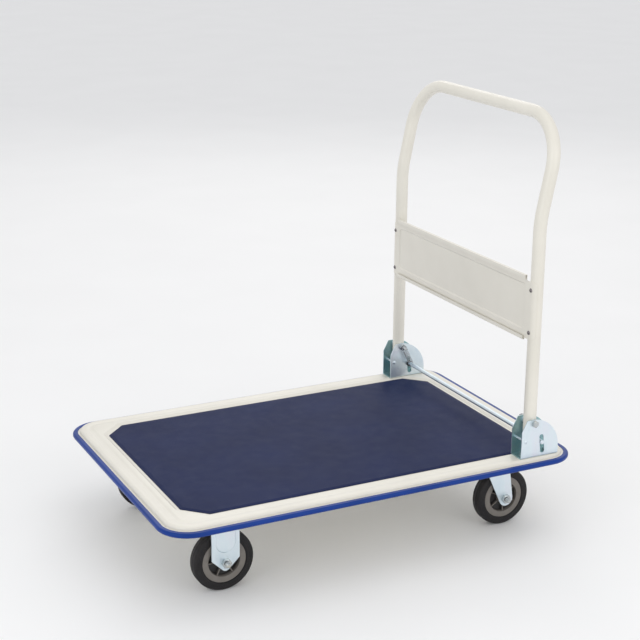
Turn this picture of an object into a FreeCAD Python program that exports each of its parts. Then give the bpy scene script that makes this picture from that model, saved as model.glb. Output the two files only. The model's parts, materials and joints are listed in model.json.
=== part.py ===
import FreeCAD, Part
import math
import os

# Platform trolley with a folding handle.
# Frame: millimetres, +Z up, origin on the floor under the centre of the deck,
# +X towards the handle end, "left" is the -Y side (left hand of a person pushing it).

V = FreeCAD.Vector
X_AXIS = V(1, 0, 0)
Y_AXIS = V(0, 1, 0)
Z_AXIS = V(0, 0, 1)

# ---- driving dimensions -----------------------------------------------------
# Deck
DECK_LENGTH = 910.0
DECK_WIDTH = 620.0
DECK_CORNER_R = 65.0
RIM_Z = 182.5                 # top of the flat border round the mat
SHEET = 1.5                   # pressed steel of the deck
LEDGE_Z = 174.5               # top of the flange that carries the bumper
SKIRT_INSET = 15.5            # from the bumper's outside to the deck's upright skirt
RIM_EDGE_R = 6.5
MAT_LENGTH = 782.0
MAT_WIDTH = 495.0
MAT_CHAMFER = 43.0
MAT_THICKNESS = 2.0
RECESS_FLOOR_Z = 178.5
RECESS_FLOOR_MARGIN = 5.0     # recess floor beyond the mat
RECESS_TOP_MARGIN = 11.0      # recess lip beyond the mat
GROOVE_INSET = 37.0           # shallow drawn groove in the border
GROOVE_DEPTH = 0.8
GROOVE_FLOOR = 4.0
GROOVE_SLOPE = 6.0

# Bumper strip
BUMPER_DEPTH = 10.5
BUMPER_LOW_Z = 165.7
BUMPER_TOP_Z = 175.7
BUMPER_EDGE_R = 4.4
FLANGE_INSET = 4.0            # flange edge inside the bumper

# Channels under the deck
CHANNEL_SHEET = 2.0
CASTER_SEAT_Z = 160.5         # underside of the cross channels
CROSS_HALF_WIDTH = 56.0
CROSS_LENGTH = 524.0
CHANNEL_LIP = 14.0
STIFFENER_Y = 130.0
STIFFENER_HALF_WIDTH = 30.0
STIFFENER_LOW_Z = 164.5

# Casters
FIXED_X = -310.0              # centre of a fixed caster's plate and wheel
FIXED_Y = 210.5
SWIVEL_X = 308.0              # a swivel caster's king pin
SWIVEL_Y = 193.5
SWIVEL_TRAIL = 30.0
PLATE_LENGTH = 104.0
PLATE_WIDTH = 84.0
PLATE_SHEET = 3.0
PLATE_BOLT_X = 40.0
PLATE_BOLT_Y = 30.0
FORK_OUTER = 20.0             # half the outside width of a fork
FORK_SHEET = 2.7
FIXED_LEG_HALF = 29.0
FIXED_LEG_SHOULDER = 7.0      # straight side ends this far above the axle
FIXED_NOSE_R = 10.0
FIXED_NOSE_DROP = 7.4         # nose centre below the axle
FLUTE_HALF = 19.0             # raised pressing on each fixed leg
FLUTE_TOP_Z = 145.5
FLUTE_LOW_Z = 85.5
FLUTE_RISE = 2.2
FLUTE_WALL = 2.0              # how much smaller the pressing is on its inner side
SWIVEL_LEG_FRONT = 24.3       # edges of a swivel leg at the crown, from the king pin
SWIVEL_LEG_REAR = 36.3
SWIVEL_NOSE_R = 16.0
SWIVEL_NOSE_SHIFT = 2.2
SWIVEL_NOSE_DROP = 1.4
CROWN_TOP_Z = 145.5
CROWN_R = 34.0
KING_PIN_R = 6.0
KING_WASHER_R = 12.0
KING_HEAD_R = 9.5
RACE_R = 30.0
RACE_LIP = 8.0                # lower race's height above the crown
RACE_WALL = 2.0
BALL_R = 2.5
BALL_CIRCLE_R = 24.0
BALL_COUNT = 20
BALL_SEAT = 1.0               # ball's underside above the crown
BALL_PLAY = 0.4

# Wheels
WHEEL_R = 62.5
TYRE_HALF_WIDTH = 13.0
TYRE_SHOULDER_R = 5.5
TYRE_BORE_R = 45.0
HUB_HALF_WIDTH = 12.5
HUB_RING_BORE_R = 33.0
HUB_WEB_HALF = 1.6
HUB_RIB_COUNT = 6
HUB_RIB_HALF = 1.1
HUB_RIB_RECESS = 2.5
BOSS_R = 13.5
BOSS_HALF_LENGTH = 16.0
BUSH_R = 8.0
BUSH_HALF_LENGTH = 16.9
AXLE_R = 5.0
RUNNING_GAP = 0.06
FRONT_RIB_ANGLE = 4.0
REAR_RIB_ANGLE = 34.0

# Handle
POST_X = 348.6
POST_Y = 272.0
PIVOT_Z = 256.5
TUBE_R = 13.3
TUBE_WALL = 1.6
TUBE_FOOT_Z = 222.5
BEND_Z = 675.0                # where the post's two straight lines meet
BEND_R = 240.0
LEAN_DEG = 11.4               # the hoop leans back from upright
TOP_BAR_Z = 875.1
TOP_CORNER_R = 102.0
PLUG_FLANGE = 2.0
PLUG_STEM = 12.0
PLUG_WALL = 2.4
BUSH_OUTER_R = 6.0
POST_WASHER_R = 8.5
PANEL_LOW_Z = 430.0
PANEL_TOP_Z = 564.5
PANEL_SHEET = 1.0
PANEL_HEM = 8.0               # height of the folded-over lips
PANEL_HEM_GAP = 3.0
PANEL_HEM_R = 1.5
PANEL_END_GAP = 2.0           # between the lips' ends and the posts
TAB_LOW_Z = 433.5             # the ends that wrap the posts are shorter than the panel
TAB_TOP_Z = 553.5
TAB_WRAP_DEG = 62.0
TAB_CORNER_R = 9.0
PANEL_CLEARANCE = 0.05        # between the wrapped tab and the round tube
FIELD_LOW_Z = 449.5
FIELD_TOP_Z = 546.0
FIELD_HALF_LENGTH = 255.0
FIELD_DEPTH = 1.8
FIELD_SLOPE = 3.0
FIELD_R = 11.0
SCREW_LOW_Z = 447.8
SCREW_TOP_Z = 536.0
SCREW_R = 2.0
SCREW_HEAD_R = 4.4
SCREW_HEAD = 2.6
SCREW_LENGTH = 8.0
SCREW_SLOT = 1.4              # depth of the cross recess

# Fold brackets
BRACKET_FRONT_X = 319.0
BRACKET_LENGTH = 90.0
BRACKET_SHEET = 2.0
BRACKET_INNER_HALF = 16.4
BRACKET_HEIGHT = 83.0
BRACKET_SHOULDER = (12.5, 82.2)   # top of the sloping front edge, from the front foot
BRACKET_SHOULDER_Z = 58.0         # where the slope starts
BRACKET_CREST = 33.0              # the flat top runs back to here
BRACKET_ARC_R = 66.0
BRACKET_ARC_UP = 17.0             # centre of the round back above the border
SLOT_WIDTH = 10.0
SLOT_TOP = (47.8, 43.4)       # centres of the slot's round ends, from the front foot
SLOT_LOW = (51.4, 12.4)
ROD_R = 4.5
ROD_ALONG_SLOT = 12.4         # rod centre at rest, below the slot's upper centre
ROD_END_Y = 293.5
CLIP_R = 7.0
CLIP_SHEET = 1.4
CLIP_GAP = 1.2                # between the clip and the inner cheek
STOP_RIVET_X = 329.0
STOP_RIVET_Z = 220.0
STOP_RIVET_R = 2.5
RIVET_HEAD_R = 4.6
RIVET_HEAD = 2.0
PIVOT_BOLT_R = 4.0
PIVOT_NUT = 7.0
PIVOT_TAIL = 9.0              # bolt end past its nut, where the spring hooks on
BASE_BOLT_X = (336.0, 392.0)

# Return springs
SPRING_WIRE_R = 0.7
SPRING_COIL_R = 5.2           # also the inside bend of both hooks
SPRING_TURNS = 9
SPRING_NECK = 8.5             # from a hook's centre to the first coil
HOOK_RETURN_DEG = 45.0

# Fasteners
M8_R = 4.0
M8_HOLE_R = 4.4
M8_FLATS = 13.0
M8_HEAD = 5.3
M8_NUT = 6.5
M10_FLATS = 17.0
M10_HEAD = 6.4
M10_NUT = 8.0
AXLE_TAIL = 8.0               # axle bolt past its nut
BASE_BOLT_LENGTH = 14.0
PLATE_BOLT_LENGTH = 15.0


# ---- small helpers ----------------------------------------------------------
def box(x0, x1, y0, y1, z0, z1):
    return Part.makeBox(x1 - x0, y1 - y0, z1 - z0, V(x0, y0, z0))


def rod(radius, length, base, axis):
    return Part.makeCylinder(radius, length, base, axis)


def along_y(radius, x, z, y0, y1):
    return rod(radius, y1 - y0, V(x, y0, z), Y_AXIS)


def along_z(radius, x, y, z0, z1):
    return rod(radius, z1 - z0, V(x, y, z0), Z_AXIS)


def mirror_y(shape):
    return shape.mirror(V(0, 0, 0), Y_AXIS)


def polygon_wire(points):
    return Part.makePolygon(points + [points[0]])


def rounded_wire(points, radius):
    """Closed flat wire through points, with every corner rounded to radius."""
    count = len(points)
    edges = []
    starts = []
    ends = []
    for i, corner in enumerate(points):
        before = (points[i - 1] - corner).normalize()
        after = (points[(i + 1) % count] - corner).normalize()
        half = math.acos(max(-1.0, min(1.0, before.dot(after)))) / 2
        reach = radius / math.tan(half)
        middle = (before + after).normalize()
        centre = corner + middle * (radius / math.sin(half))
        starts.append(corner + before * reach)
        ends.append(corner + after * reach)
        edges.append(Part.Arc(starts[-1], centre - middle * radius, ends[-1]).toShape())
    for i in range(count):
        edges.append(Part.LineSegment(ends[i], starts[(i + 1) % count]).toShape())
    return Part.Wire(Part.__sortEdges__(edges))


def rectangle(half_x, half_y, z):
    return [V(-half_x, -half_y, z), V(half_x, -half_y, z), V(half_x, half_y, z), V(-half_x, half_y, z)]


def chamfered(half_x, half_y, chamfer, z):
    cx = half_x - chamfer
    cy = half_y - chamfer
    return [
        V(-cx, -half_y, z), V(cx, -half_y, z), V(half_x, -cy, z), V(half_x, cy, z),
        V(cx, half_y, z), V(-cx, half_y, z), V(-half_x, cy, z), V(-half_x, -cy, z),
    ]


def prism(wire, vector):
    return Part.Face(wire).extrude(vector)


def loft(wires):
    return Part.makeLoft(wires, True, True)


def deck_outline(inset, z):
    """Rounded outline of the deck, inset from the bumper's outside."""
    points = rectangle(DECK_LENGTH / 2 - inset, DECK_WIDTH / 2 - inset, z)
    return rounded_wire(points, DECK_CORNER_R - inset)


def mat_outline(margin, z, radius):
    """Chamfered outline of the mat, grown by margin."""
    chamfer = MAT_CHAMFER + margin * (2 - math.sqrt(2))
    points = chamfered(MAT_LENGTH / 2 + margin, MAT_WIDTH / 2 + margin, chamfer, z)
    return rounded_wire(points, radius)


def horizontal_edges(shape, z):
    """Edges of a shape that lie in the plane at height z."""
    found = []
    for edge in shape.Edges:
        if abs(edge.BoundBox.ZMin - z) < 1e-4 and abs(edge.BoundBox.ZMax - z) < 1e-4:
            found.append(edge)
    return found


def hexagon(flats, height, centre, axis):
    """Hexagonal prism with turned corners, standing on centre along axis."""
    rotation = FreeCAD.Rotation(Z_AXIS, axis)
    points = []
    for k in range(6):
        angle = math.radians(60 * k + 30)
        points.append(V(math.cos(angle), math.sin(angle), 0) * (flats / math.sqrt(3)))
    body = prism(polygon_wire(points), V(0, 0, height))
    crown_r = flats / 2 * 0.96
    slope = flats * 0.35
    cone = Part.makeCone(crown_r + slope, crown_r, slope, V(0, 0, height - slope), Z_AXIS)
    barrel = rod(flats, height - slope + 0.01, V(0, 0, 0), Z_AXIS) if height > slope else None
    envelope = cone if barrel is None else cone.fuse(barrel)
    body = body.common(envelope)
    body.Placement = FreeCAD.Placement(centre, rotation)
    return body


def hex_bolt(radius, flats, head, length, centre, axis):
    """Bolt whose head stands on centre along -axis and whose shank runs along axis."""
    shank = rod(radius, length, centre, axis)
    return hexagon(flats, head, centre, axis * -1).fuse(shank)


def hex_nut(radius, flats, height, centre, axis):
    hole = rod(radius, height + 2, centre - axis, axis)
    return hexagon(flats, height, centre, axis).cut(hole)


def tangent_point(point, centre, radius, side):
    """Where the tangent from point touches a circle in the XZ plane; side is +1 or -1."""
    dx = point[0] - centre[0]
    dz = point[1] - centre[1]
    distance = math.hypot(dx, dz)
    turn = math.acos(radius / distance) * side
    angle = math.atan2(dz, dx) + turn
    return (centre[0] + radius * math.cos(angle), centre[1] + radius * math.sin(angle))


def leg_wire(left_points, right_points, nose, nose_r, y):
    """Fork leg outline: straight sides that run into a round nose centred on nose."""
    left = tangent_point(left_points[-1], nose, nose_r, 1)
    right = tangent_point(right_points[-1], nose, nose_r, -1)
    bottom = V(nose[0], y, nose[1] - nose_r)
    chain = left_points + [left]
    edges = []
    for a, b in zip(chain, chain[1:]):
        edges.append(Part.LineSegment(V(a[0], y, a[1]), V(b[0], y, b[1])).toShape())
    edges.append(Part.Arc(V(left[0], y, left[1]), bottom, V(right[0], y, right[1])).toShape())
    chain = [right] + right_points[::-1] + [left_points[0]]
    for a, b in zip(chain, chain[1:]):
        edges.append(Part.LineSegment(V(a[0], y, a[1]), V(b[0], y, b[1])).toShape())
    return Part.Wire(Part.__sortEdges__(edges))


def flute(x, half, z_top, z_low, y, direction):
    """Raised pressing on a fork leg: a flat pad with a round lower end."""
    wires = []
    for grow, lift in ((FLUTE_RISE, 0.0), (0.0, FLUTE_RISE)):
        face_y = y + lift * direction
        reach = half + grow
        top_l = V(x - reach, face_y, z_top)
        top_r = V(x + reach, face_y, z_top)
        low_l = V(x - reach, face_y, z_low + half)
        low_r = V(x + reach, face_y, z_low + half)
        bottom = V(x, face_y, z_low - grow)
        edges = [
            Part.LineSegment(top_r, top_l).toShape(),
            Part.LineSegment(top_l, low_l).toShape(),
            Part.Arc(low_l, bottom, low_r).toShape(),
            Part.LineSegment(low_r, top_r).toShape(),
        ]
        wires.append(Part.Wire(edges))
    return loft(wires)


# ---- deck -------------------------------------------------------------------
def shallow_groove():
    """Ring-shaped tool that presses the shallow groove into the border."""
    half_floor = GROOVE_FLOOR / 2
    half_top = half_floor + GROOVE_SLOPE
    top = RIM_Z + 0.001
    low = RIM_Z - GROOVE_DEPTH
    outer = loft([deck_outline(GROOVE_INSET - half_top, top), deck_outline(GROOVE_INSET - half_floor, low)])
    inner = loft([deck_outline(GROOVE_INSET + half_top, top), deck_outline(GROOVE_INSET + half_floor, low)])
    return outer.cut(inner)


def deck_pan():
    flange_low = LEDGE_Z - SHEET
    raised = prism(deck_outline(SKIRT_INSET, flange_low), V(0, 0, RIM_Z - flange_low))
    raised = raised.makeFillet(RIM_EDGE_R, horizontal_edges(raised, RIM_Z))
    flange = prism(deck_outline(FLANGE_INSET, flange_low), V(0, 0, SHEET))
    under_top = RIM_Z - SHEET
    hollow = prism(deck_outline(SKIRT_INSET + SHEET, flange_low - 1), V(0, 0, under_top - flange_low + 1))
    hollow = hollow.makeFillet(RIM_EDGE_R - SHEET, horizontal_edges(hollow, under_top))
    recess = loft([
        mat_outline(RECESS_FLOOR_MARGIN, RECESS_FLOOR_Z, 8.0),
        mat_outline(RECESS_TOP_MARGIN, RIM_Z, 12.0),
    ])
    tray = loft([
        mat_outline(RECESS_FLOOR_MARGIN + SHEET, RECESS_FLOOR_Z - SHEET, 8.0),
        mat_outline(RECESS_TOP_MARGIN + SHEET, RIM_Z - SHEET, 12.0),
    ])
    pan = raised.fuse(flange).cut(recess).cut(shallow_groove())
    pan = pan.cut(hollow.cut(tray))
    for x in BASE_BOLT_X:
        for y in (-POST_Y, POST_Y):
            pan = pan.cut(along_z(M8_HOLE_R, x, y, RIM_Z - 10, RIM_Z + 5))
    return pan


def deck_mat():
    return prism(mat_outline(0, RECESS_FLOOR_Z, 1.5), V(0, 0, MAT_THICKNESS))


def edge_bumper():
    strip = prism(deck_outline(0, BUMPER_LOW_Z), V(0, 0, BUMPER_TOP_Z - BUMPER_LOW_Z))
    round_edges = horizontal_edges(strip, BUMPER_TOP_Z) + horizontal_edges(strip, BUMPER_LOW_Z)
    strip = strip.makeFillet(BUMPER_EDGE_R, round_edges)
    inside = prism(deck_outline(BUMPER_DEPTH, BUMPER_LOW_Z - 1), V(0, 0, 20))
    slot = prism(deck_outline(FLANGE_INSET, LEDGE_Z - SHEET), V(0, 0, SHEET))
    return strip.cut(inside).cut(slot)


def hat_section(half_width, low_z, half_length):
    """Top-hat channel along Y, centred on the origin, crown down, lips against the deck."""
    top_z = RECESS_FLOOR_Z - SHEET
    outer = box(-half_width, half_width, -half_length, half_length, low_z, top_z)
    long_edges = [e for e in horizontal_edges(outer, low_z) if e.Length > 2 * half_width + 1]
    outer = outer.makeFillet(4.0, long_edges)
    inner_half = half_width - CHANNEL_SHEET
    inner_low = low_z + CHANNEL_SHEET
    inner = box(-inner_half, inner_half, -half_length - 1, half_length + 1, inner_low, top_z + 1)
    lips = box(
        -half_width - CHANNEL_LIP, half_width + CHANNEL_LIP, -half_length, half_length,
        top_z - CHANNEL_SHEET, top_z,
    )
    return outer.fuse(lips).cut(inner)


def plate_bolt_places(centre_x, centre_y):
    places = []
    for sx in (-1, 1):
        for sy in (-1, 1):
            places.append((centre_x + sx * PLATE_BOLT_X, centre_y + sy * PLATE_BOLT_Y))
    return places


def cross_channel(centre_x, caster_y):
    channel = hat_section(CROSS_HALF_WIDTH, CASTER_SEAT_Z, CROSS_LENGTH / 2)
    channel.translate(V(centre_x, 0, 0))
    for side in (-1, 1):
        for x, y in plate_bolt_places(centre_x, side * caster_y):
            channel = channel.cut(along_z(M8_HOLE_R, x, y, CASTER_SEAT_Z - 1, CASTER_SEAT_Z + 4))
    return channel


def side_stiffener(side):
    x0 = FIXED_X + CROSS_HALF_WIDTH + CHANNEL_LIP + 1
    x1 = SWIVEL_X - CROSS_HALF_WIDTH - CHANNEL_LIP - 1
    channel = hat_section(STIFFENER_HALF_WIDTH, STIFFENER_LOW_Z, (x1 - x0) / 2)
    channel.rotate(V(0, 0, 0), Z_AXIS, 90)
    channel.translate(V((x0 + x1) / 2, side * STIFFENER_Y, 0))
    return channel


# ---- fold brackets and release rod ------------------------------------------
def bracket_point(along, up, y=0.0):
    return V(BRACKET_FRONT_X + along, y, RIM_Z + up)


def slot_direction():
    top = bracket_point(*SLOT_TOP)
    low = bracket_point(*SLOT_LOW)
    return (low - top).normalize()


def rod_centre():
    return bracket_point(*SLOT_TOP) + slot_direction() * ROD_ALONG_SLOT


def cheek_wire(y):
    """Side outline of the bracket: sloping front shoulder, flat top, large round back."""
    centre_along = BRACKET_LENGTH - BRACKET_ARC_R
    centre_up = BRACKET_ARC_UP
    crest_along = BRACKET_CREST
    crest_up = centre_up + math.sqrt(BRACKET_ARC_R**2 - (crest_along - centre_along) ** 2)
    half = math.radians(40)
    middle = (centre_along + BRACKET_ARC_R * math.cos(half), centre_up + BRACKET_ARC_R * math.sin(half))
    points = [(0, 0), (0, BRACKET_SHOULDER_Z), BRACKET_SHOULDER, (crest_along, crest_up)]
    edges = []
    for a, b in zip(points, points[1:]):
        edges.append(Part.LineSegment(bracket_point(*a, y), bracket_point(*b, y)).toShape())
    edges.append(Part.Arc(
        bracket_point(crest_along, crest_up, y), bracket_point(*middle, y),
        bracket_point(BRACKET_LENGTH, centre_up, y),
    ).toShape())
    edges.append(Part.LineSegment(
        bracket_point(BRACKET_LENGTH, centre_up, y), bracket_point(BRACKET_LENGTH, 0, y)).toShape())
    edges.append(Part.LineSegment(
        bracket_point(BRACKET_LENGTH, 0, y), bracket_point(0, 0, y)).toShape())
    return Part.Wire(edges)


def slot_tool(y0, y1):
    """Slanted slot with round ends, cut along Y."""
    top = bracket_point(*SLOT_TOP, y0)
    low = bracket_point(*SLOT_LOW, y0)
    across = slot_direction().cross(Y_AXIS).normalize() * (SLOT_WIDTH / 2)
    body = prism(polygon_wire([top + across, low + across, low - across, top - across]), V(0, y1 - y0, 0))
    for end in (top, low):
        body = body.fuse(rod(SLOT_WIDTH / 2, y1 - y0, end, Y_AXIS))
    return body


def fold_bracket(side):
    outer = BRACKET_INNER_HALF + BRACKET_SHEET
    x0 = BRACKET_FRONT_X
    x1 = x0 + BRACKET_LENGTH
    shell = box(x0, x1, -outer, outer, RIM_Z, RIM_Z + BRACKET_HEIGHT + 5)
    shell = shell.makeFillet(3.0, [e for e in horizontal_edges(shell, RIM_Z) if e.BoundBox.XLength > 50])
    core_top = RIM_Z + BRACKET_HEIGHT + 6
    core = box(
        x0 - 1, x1 + 1, -BRACKET_INNER_HALF, BRACKET_INNER_HALF, RIM_Z + BRACKET_SHEET, core_top)
    floor_edges = [e for e in horizontal_edges(core, RIM_Z + BRACKET_SHEET) if e.BoundBox.XLength > 50]
    shell = shell.cut(core.makeFillet(1.0, floor_edges))
    shell = shell.common(prism(cheek_wire(-outer - 1), V(0, 2 * outer + 2, 0)))
    shell = shell.cut(slot_tool(-outer - 1, outer + 1))
    shell = shell.cut(along_y(PIVOT_BOLT_R + RUNNING_GAP, POST_X, PIVOT_Z, -outer - 1, outer + 1))
    shell = shell.cut(along_y(STOP_RIVET_R, STOP_RIVET_X, STOP_RIVET_Z, -outer - 1, outer + 1))
    for x in BASE_BOLT_X:
        shell = shell.cut(along_z(M8_HOLE_R, x, 0, RIM_Z - 1, RIM_Z + 4))
    shell.translate(V(0, side * POST_Y, 0))
    return shell


def bracket_bolts():
    bolts = []
    for x in BASE_BOLT_X:
        for y in (-POST_Y, POST_Y):
            top = V(x, y, RIM_Z + BRACKET_SHEET)
            bolts.append(hex_bolt(M8_R, M8_FLATS, M8_HEAD, BASE_BOLT_LENGTH, top, Z_AXIS * -1))
    return bolts


def bracket_nuts():
    nuts = []
    for x in BASE_BOLT_X:
        for y in (-POST_Y, POST_Y):
            nuts.append(hex_nut(M8_R, M8_FLATS, M8_NUT, V(x, y, RIM_Z - SHEET), Z_AXIS * -1))
    return nuts


def dome(radius, height, centre, axis):
    """Shallow round rivet head standing on centre along axis."""
    sphere_r = (radius**2 + height**2) / (2 * height)
    ball = Part.makeSphere(sphere_r, centre - axis * (sphere_r - height))
    return ball.common(rod(radius, height + 1, centre, axis))


def stop_rivet(side):
    outer = BRACKET_INNER_HALF + BRACKET_SHEET
    y0 = side * POST_Y - outer
    y1 = side * POST_Y + outer
    shank = along_y(STOP_RIVET_R, STOP_RIVET_X, STOP_RIVET_Z, y0, y1)
    head_0 = dome(RIVET_HEAD_R, RIVET_HEAD, V(STOP_RIVET_X, y0, STOP_RIVET_Z), Y_AXIS * -1)
    head_1 = dome(RIVET_HEAD_R, RIVET_HEAD, V(STOP_RIVET_X, y1, STOP_RIVET_Z), Y_AXIS)
    return shank.fuse([head_0, head_1])


def pivot_bolt(side):
    """Bolt with its head outboard and its tail inboard."""
    outer = BRACKET_INNER_HALF + BRACKET_SHEET
    start = V(POST_X, side * (POST_Y + outer), PIVOT_Z)
    length = 2 * outer + PIVOT_NUT + PIVOT_TAIL
    return hex_bolt(PIVOT_BOLT_R, M8_FLATS, M8_HEAD, length, start, Y_AXIS * -side)


def pivot_nut(side):
    outer = BRACKET_INNER_HALF + BRACKET_SHEET
    centre = V(POST_X, side * (POST_Y - outer), PIVOT_Z)
    return hex_nut(PIVOT_BOLT_R, M8_FLATS, PIVOT_NUT, centre, Y_AXIS * -side)


def spring_hook(centre, towards, across):
    """Wire that leaves the coil at across and bends round centre."""
    side = centre + across * SPRING_COIL_R
    foot = side + towards * (SPRING_NECK + SPRING_WIRE_R / 2)
    crest = centre - towards * SPRING_COIL_R
    back = math.radians(HOOK_RETURN_DEG)
    tip = centre - across * (SPRING_COIL_R * math.cos(back)) + towards * (SPRING_COIL_R * math.sin(back))
    path = Part.Wire([Part.LineSegment(foot, side).toShape(), Part.Arc(side, crest, tip).toShape()])
    section = Part.Wire(Part.makeCircle(SPRING_WIRE_R, foot, towards))
    return path.makePipeShell([section], True, False)


def return_spring(side):
    """Extension spring from the pivot bolt's tail down to the release rod."""
    outer = BRACKET_INNER_HALF + BRACKET_SHEET
    y = side * (POST_Y - outer - PIVOT_NUT - PIVOT_TAIL / 2)
    upper = V(POST_X, y, PIVOT_Z)
    lower = rod_centre() + V(0, y, 0)
    axis = (lower - upper).normalize()
    length = (lower - upper).Length - 2 * SPRING_NECK
    to_axis = FreeCAD.Rotation(Z_AXIS, axis)
    across = to_axis.multVec(X_AXIS)
    helix = Part.makeHelix(length / SPRING_TURNS, length, SPRING_COIL_R)
    section = Part.Wire(Part.makeCircle(SPRING_WIRE_R, V(SPRING_COIL_R, 0, 0), Y_AXIS))
    coil = Part.Wire(helix.Edges).makePipeShell([section], True, True)
    coil.Placement = FreeCAD.Placement(upper + axis * SPRING_NECK, to_axis)
    return coil.fuse([spring_hook(upper, axis, across), spring_hook(lower, axis * -1, across)])


def release_rod():
    centre = rod_centre()
    bar = along_y(ROD_R, centre.x, centre.z, -ROD_END_Y, ROD_END_Y)
    return bar.makeChamfer(0.8, [e for e in bar.Edges if e.BoundBox.YLength < 0.1])


def rod_clip(side):
    """Push-on ring that keeps the rod central, just inboard of the inner cheek."""
    centre = rod_centre()
    outer = BRACKET_INNER_HALF + BRACKET_SHEET
    y = side * (POST_Y - outer - CLIP_GAP)
    ring = rod(CLIP_R, CLIP_SHEET, V(centre.x, y, centre.z), Y_AXIS * -side)
    return ring.cut(rod(ROD_R, 6, V(centre.x, y + side * 2, centre.z), Y_AXIS * -side))


# ---- handle -----------------------------------------------------------------
def straight(start, end):
    return Part.LineSegment(start, end).toShape()


def turn(start, centre, corner, end):
    """Arc from start to end about centre, on the side where corner lies."""
    middle = centre + (corner - centre).normalize() * (start - centre).Length
    return Part.Arc(start, middle, end).toShape()


def handle_path():
    """Centre line of the bent tube, from the left foot round to the right foot."""
    lean = math.radians(LEAN_DEG)
    up = V(math.sin(lean), 0, math.cos(lean))
    reach = BEND_R * math.tan(lean / 2)
    foot = V(POST_X, -POST_Y, TUBE_FOOT_Z)
    knee = V(POST_X, -POST_Y, BEND_Z)
    bend_low = knee - Z_AXIS * reach
    bend_top = knee + up * reach
    shoulder = knee + up * ((TOP_BAR_Z - BEND_Z) / math.cos(lean))
    corner_low = shoulder - up * TOP_CORNER_R
    corner_end = shoulder + Y_AXIS * TOP_CORNER_R
    left = [
        straight(foot, bend_low),
        turn(bend_low, bend_low + X_AXIS * BEND_R, knee, bend_top),
        straight(bend_top, corner_low),
        turn(corner_low, corner_low + Y_AXIS * TOP_CORNER_R, shoulder, corner_end),
    ]
    top_bar = straight(corner_end, V(corner_end.x, -corner_end.y, corner_end.z))
    right = [mirror_y(edge) for edge in reversed(left)]
    return Part.Wire(Part.__sortEdges__(left + [top_bar] + right))


def swept_tube(radius):
    path = handle_path()
    circle = Part.Wire(Part.makeCircle(radius, V(POST_X, -POST_Y, TUBE_FOOT_Z), Z_AXIS))
    return path.makePipeShell([circle], True, False)


def handle_tube():
    tube = swept_tube(TUBE_R).cut(swept_tube(TUBE_R - TUBE_WALL))
    for side in (-1, 1):
        y = side * POST_Y
        tube = tube.cut(along_y(BUSH_OUTER_R + 0.02, POST_X, PIVOT_Z, y - 20, y + 20))
        for z in (SCREW_LOW_Z, SCREW_TOP_Z):
            tube = tube.cut(rod(SCREW_R, TUBE_R, V(POST_X - TUBE_R - 2, y, z), X_AXIS))
    return tube


def foot_plug(side):
    """Moulded plug that closes the foot of the tube."""
    y = side * POST_Y
    low = TUBE_FOOT_Z - PLUG_FLANGE
    stem_r = TUBE_R - TUBE_WALL - 0.1
    cap = along_z(TUBE_R - 0.3, POST_X, y, low, TUBE_FOOT_Z)
    cap = cap.makeFillet(0.9, horizontal_edges(cap, low))
    stem = along_z(stem_r, POST_X, y, TUBE_FOOT_Z, TUBE_FOOT_Z + PLUG_STEM)
    bore = along_z(stem_r - PLUG_WALL, POST_X, y, TUBE_FOOT_Z + 0.5, TUBE_FOOT_Z + PLUG_STEM + 1)
    return cap.fuse(stem).cut(bore)


def post_washers():
    """Spacer rings round the pivot bushes, between each post and its bracket's cheeks."""
    washers = []
    for y in (-POST_Y, POST_Y):
        for out in (-1, 1):
            near = y + out * (TUBE_R + 0.1)
            far = y + out * (BRACKET_INNER_HALF - 0.2)
            low, high = sorted((near, far))
            ring = along_y(POST_WASHER_R, POST_X, PIVOT_Z, low, high)
            washers.append(ring.cut(along_y(BUSH_OUTER_R + 0.02, POST_X, PIVOT_Z, low - 1, high + 1)))
    return washers


def pivot_bush(side):
    """Steel bush through the post, turning on the pivot bolt."""
    half = BRACKET_INNER_HALF - 0.2
    y = side * POST_Y
    outer = along_y(BUSH_OUTER_R, POST_X, PIVOT_Z, y - half, y + half)
    return outer.cut(along_y(PIVOT_BOLT_R + RUNNING_GAP, POST_X, PIVOT_Z, y - half - 1, y + half + 1))


def panel_rectangle(half_y, low_z, top_z, x, radius):
    points = [V(x, -half_y, low_z), V(x, half_y, low_z), V(x, half_y, top_z), V(x, -half_y, top_z)]
    return rounded_wire(points, radius)


def wrapped_tabs(front_x, back_x):
    """Strip that runs past the posts, its ends wrapped round the tubes and their corners rounded."""
    height = TAB_TOP_Z - TAB_LOW_Z
    wrap_inner = TUBE_R + PANEL_CLEARANCE
    wrap_outer = wrap_inner + PANEL_SHEET
    wrap = math.radians(TAB_WRAP_DEG)
    wedge_reach = 40.0
    strip = box(front_x, back_x, -POST_Y, POST_Y, TAB_LOW_Z, TAB_TOP_Z)
    for side in (-1, 1):
        base = V(POST_X, side * POST_Y, TAB_LOW_Z)
        ring = rod(wrap_outer, height, base, Z_AXIS).cut(rod(wrap_inner, height, base, Z_AXIS))
        corner_a = base - X_AXIS * wedge_reach
        corner_b = corner_a + Y_AXIS * (side * wedge_reach * math.tan(wrap))
        wedge = prism(polygon_wire([base, corner_a, corner_b]), V(0, 0, height))
        strip = strip.fuse(ring.common(wedge))
    half_y = POST_Y + wrap_outer * math.sin(wrap)
    outline = panel_rectangle(half_y, TAB_LOW_Z, TAB_TOP_Z, front_x - 5, TAB_CORNER_R)
    return strip.common(prism(outline, V(40, 0, 0)))


def pressed_field(x):
    """Tool for the sunk field, its open side at x."""
    low = FIELD_LOW_Z + FIELD_SLOPE
    top = FIELD_TOP_Z - FIELD_SLOPE
    return loft([
        panel_rectangle(FIELD_HALF_LENGTH, FIELD_LOW_Z, FIELD_TOP_Z, x, FIELD_R),
        panel_rectangle(FIELD_HALF_LENGTH - FIELD_SLOPE, low, top, x + FIELD_DEPTH, FIELD_R - FIELD_SLOPE),
    ])


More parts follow.
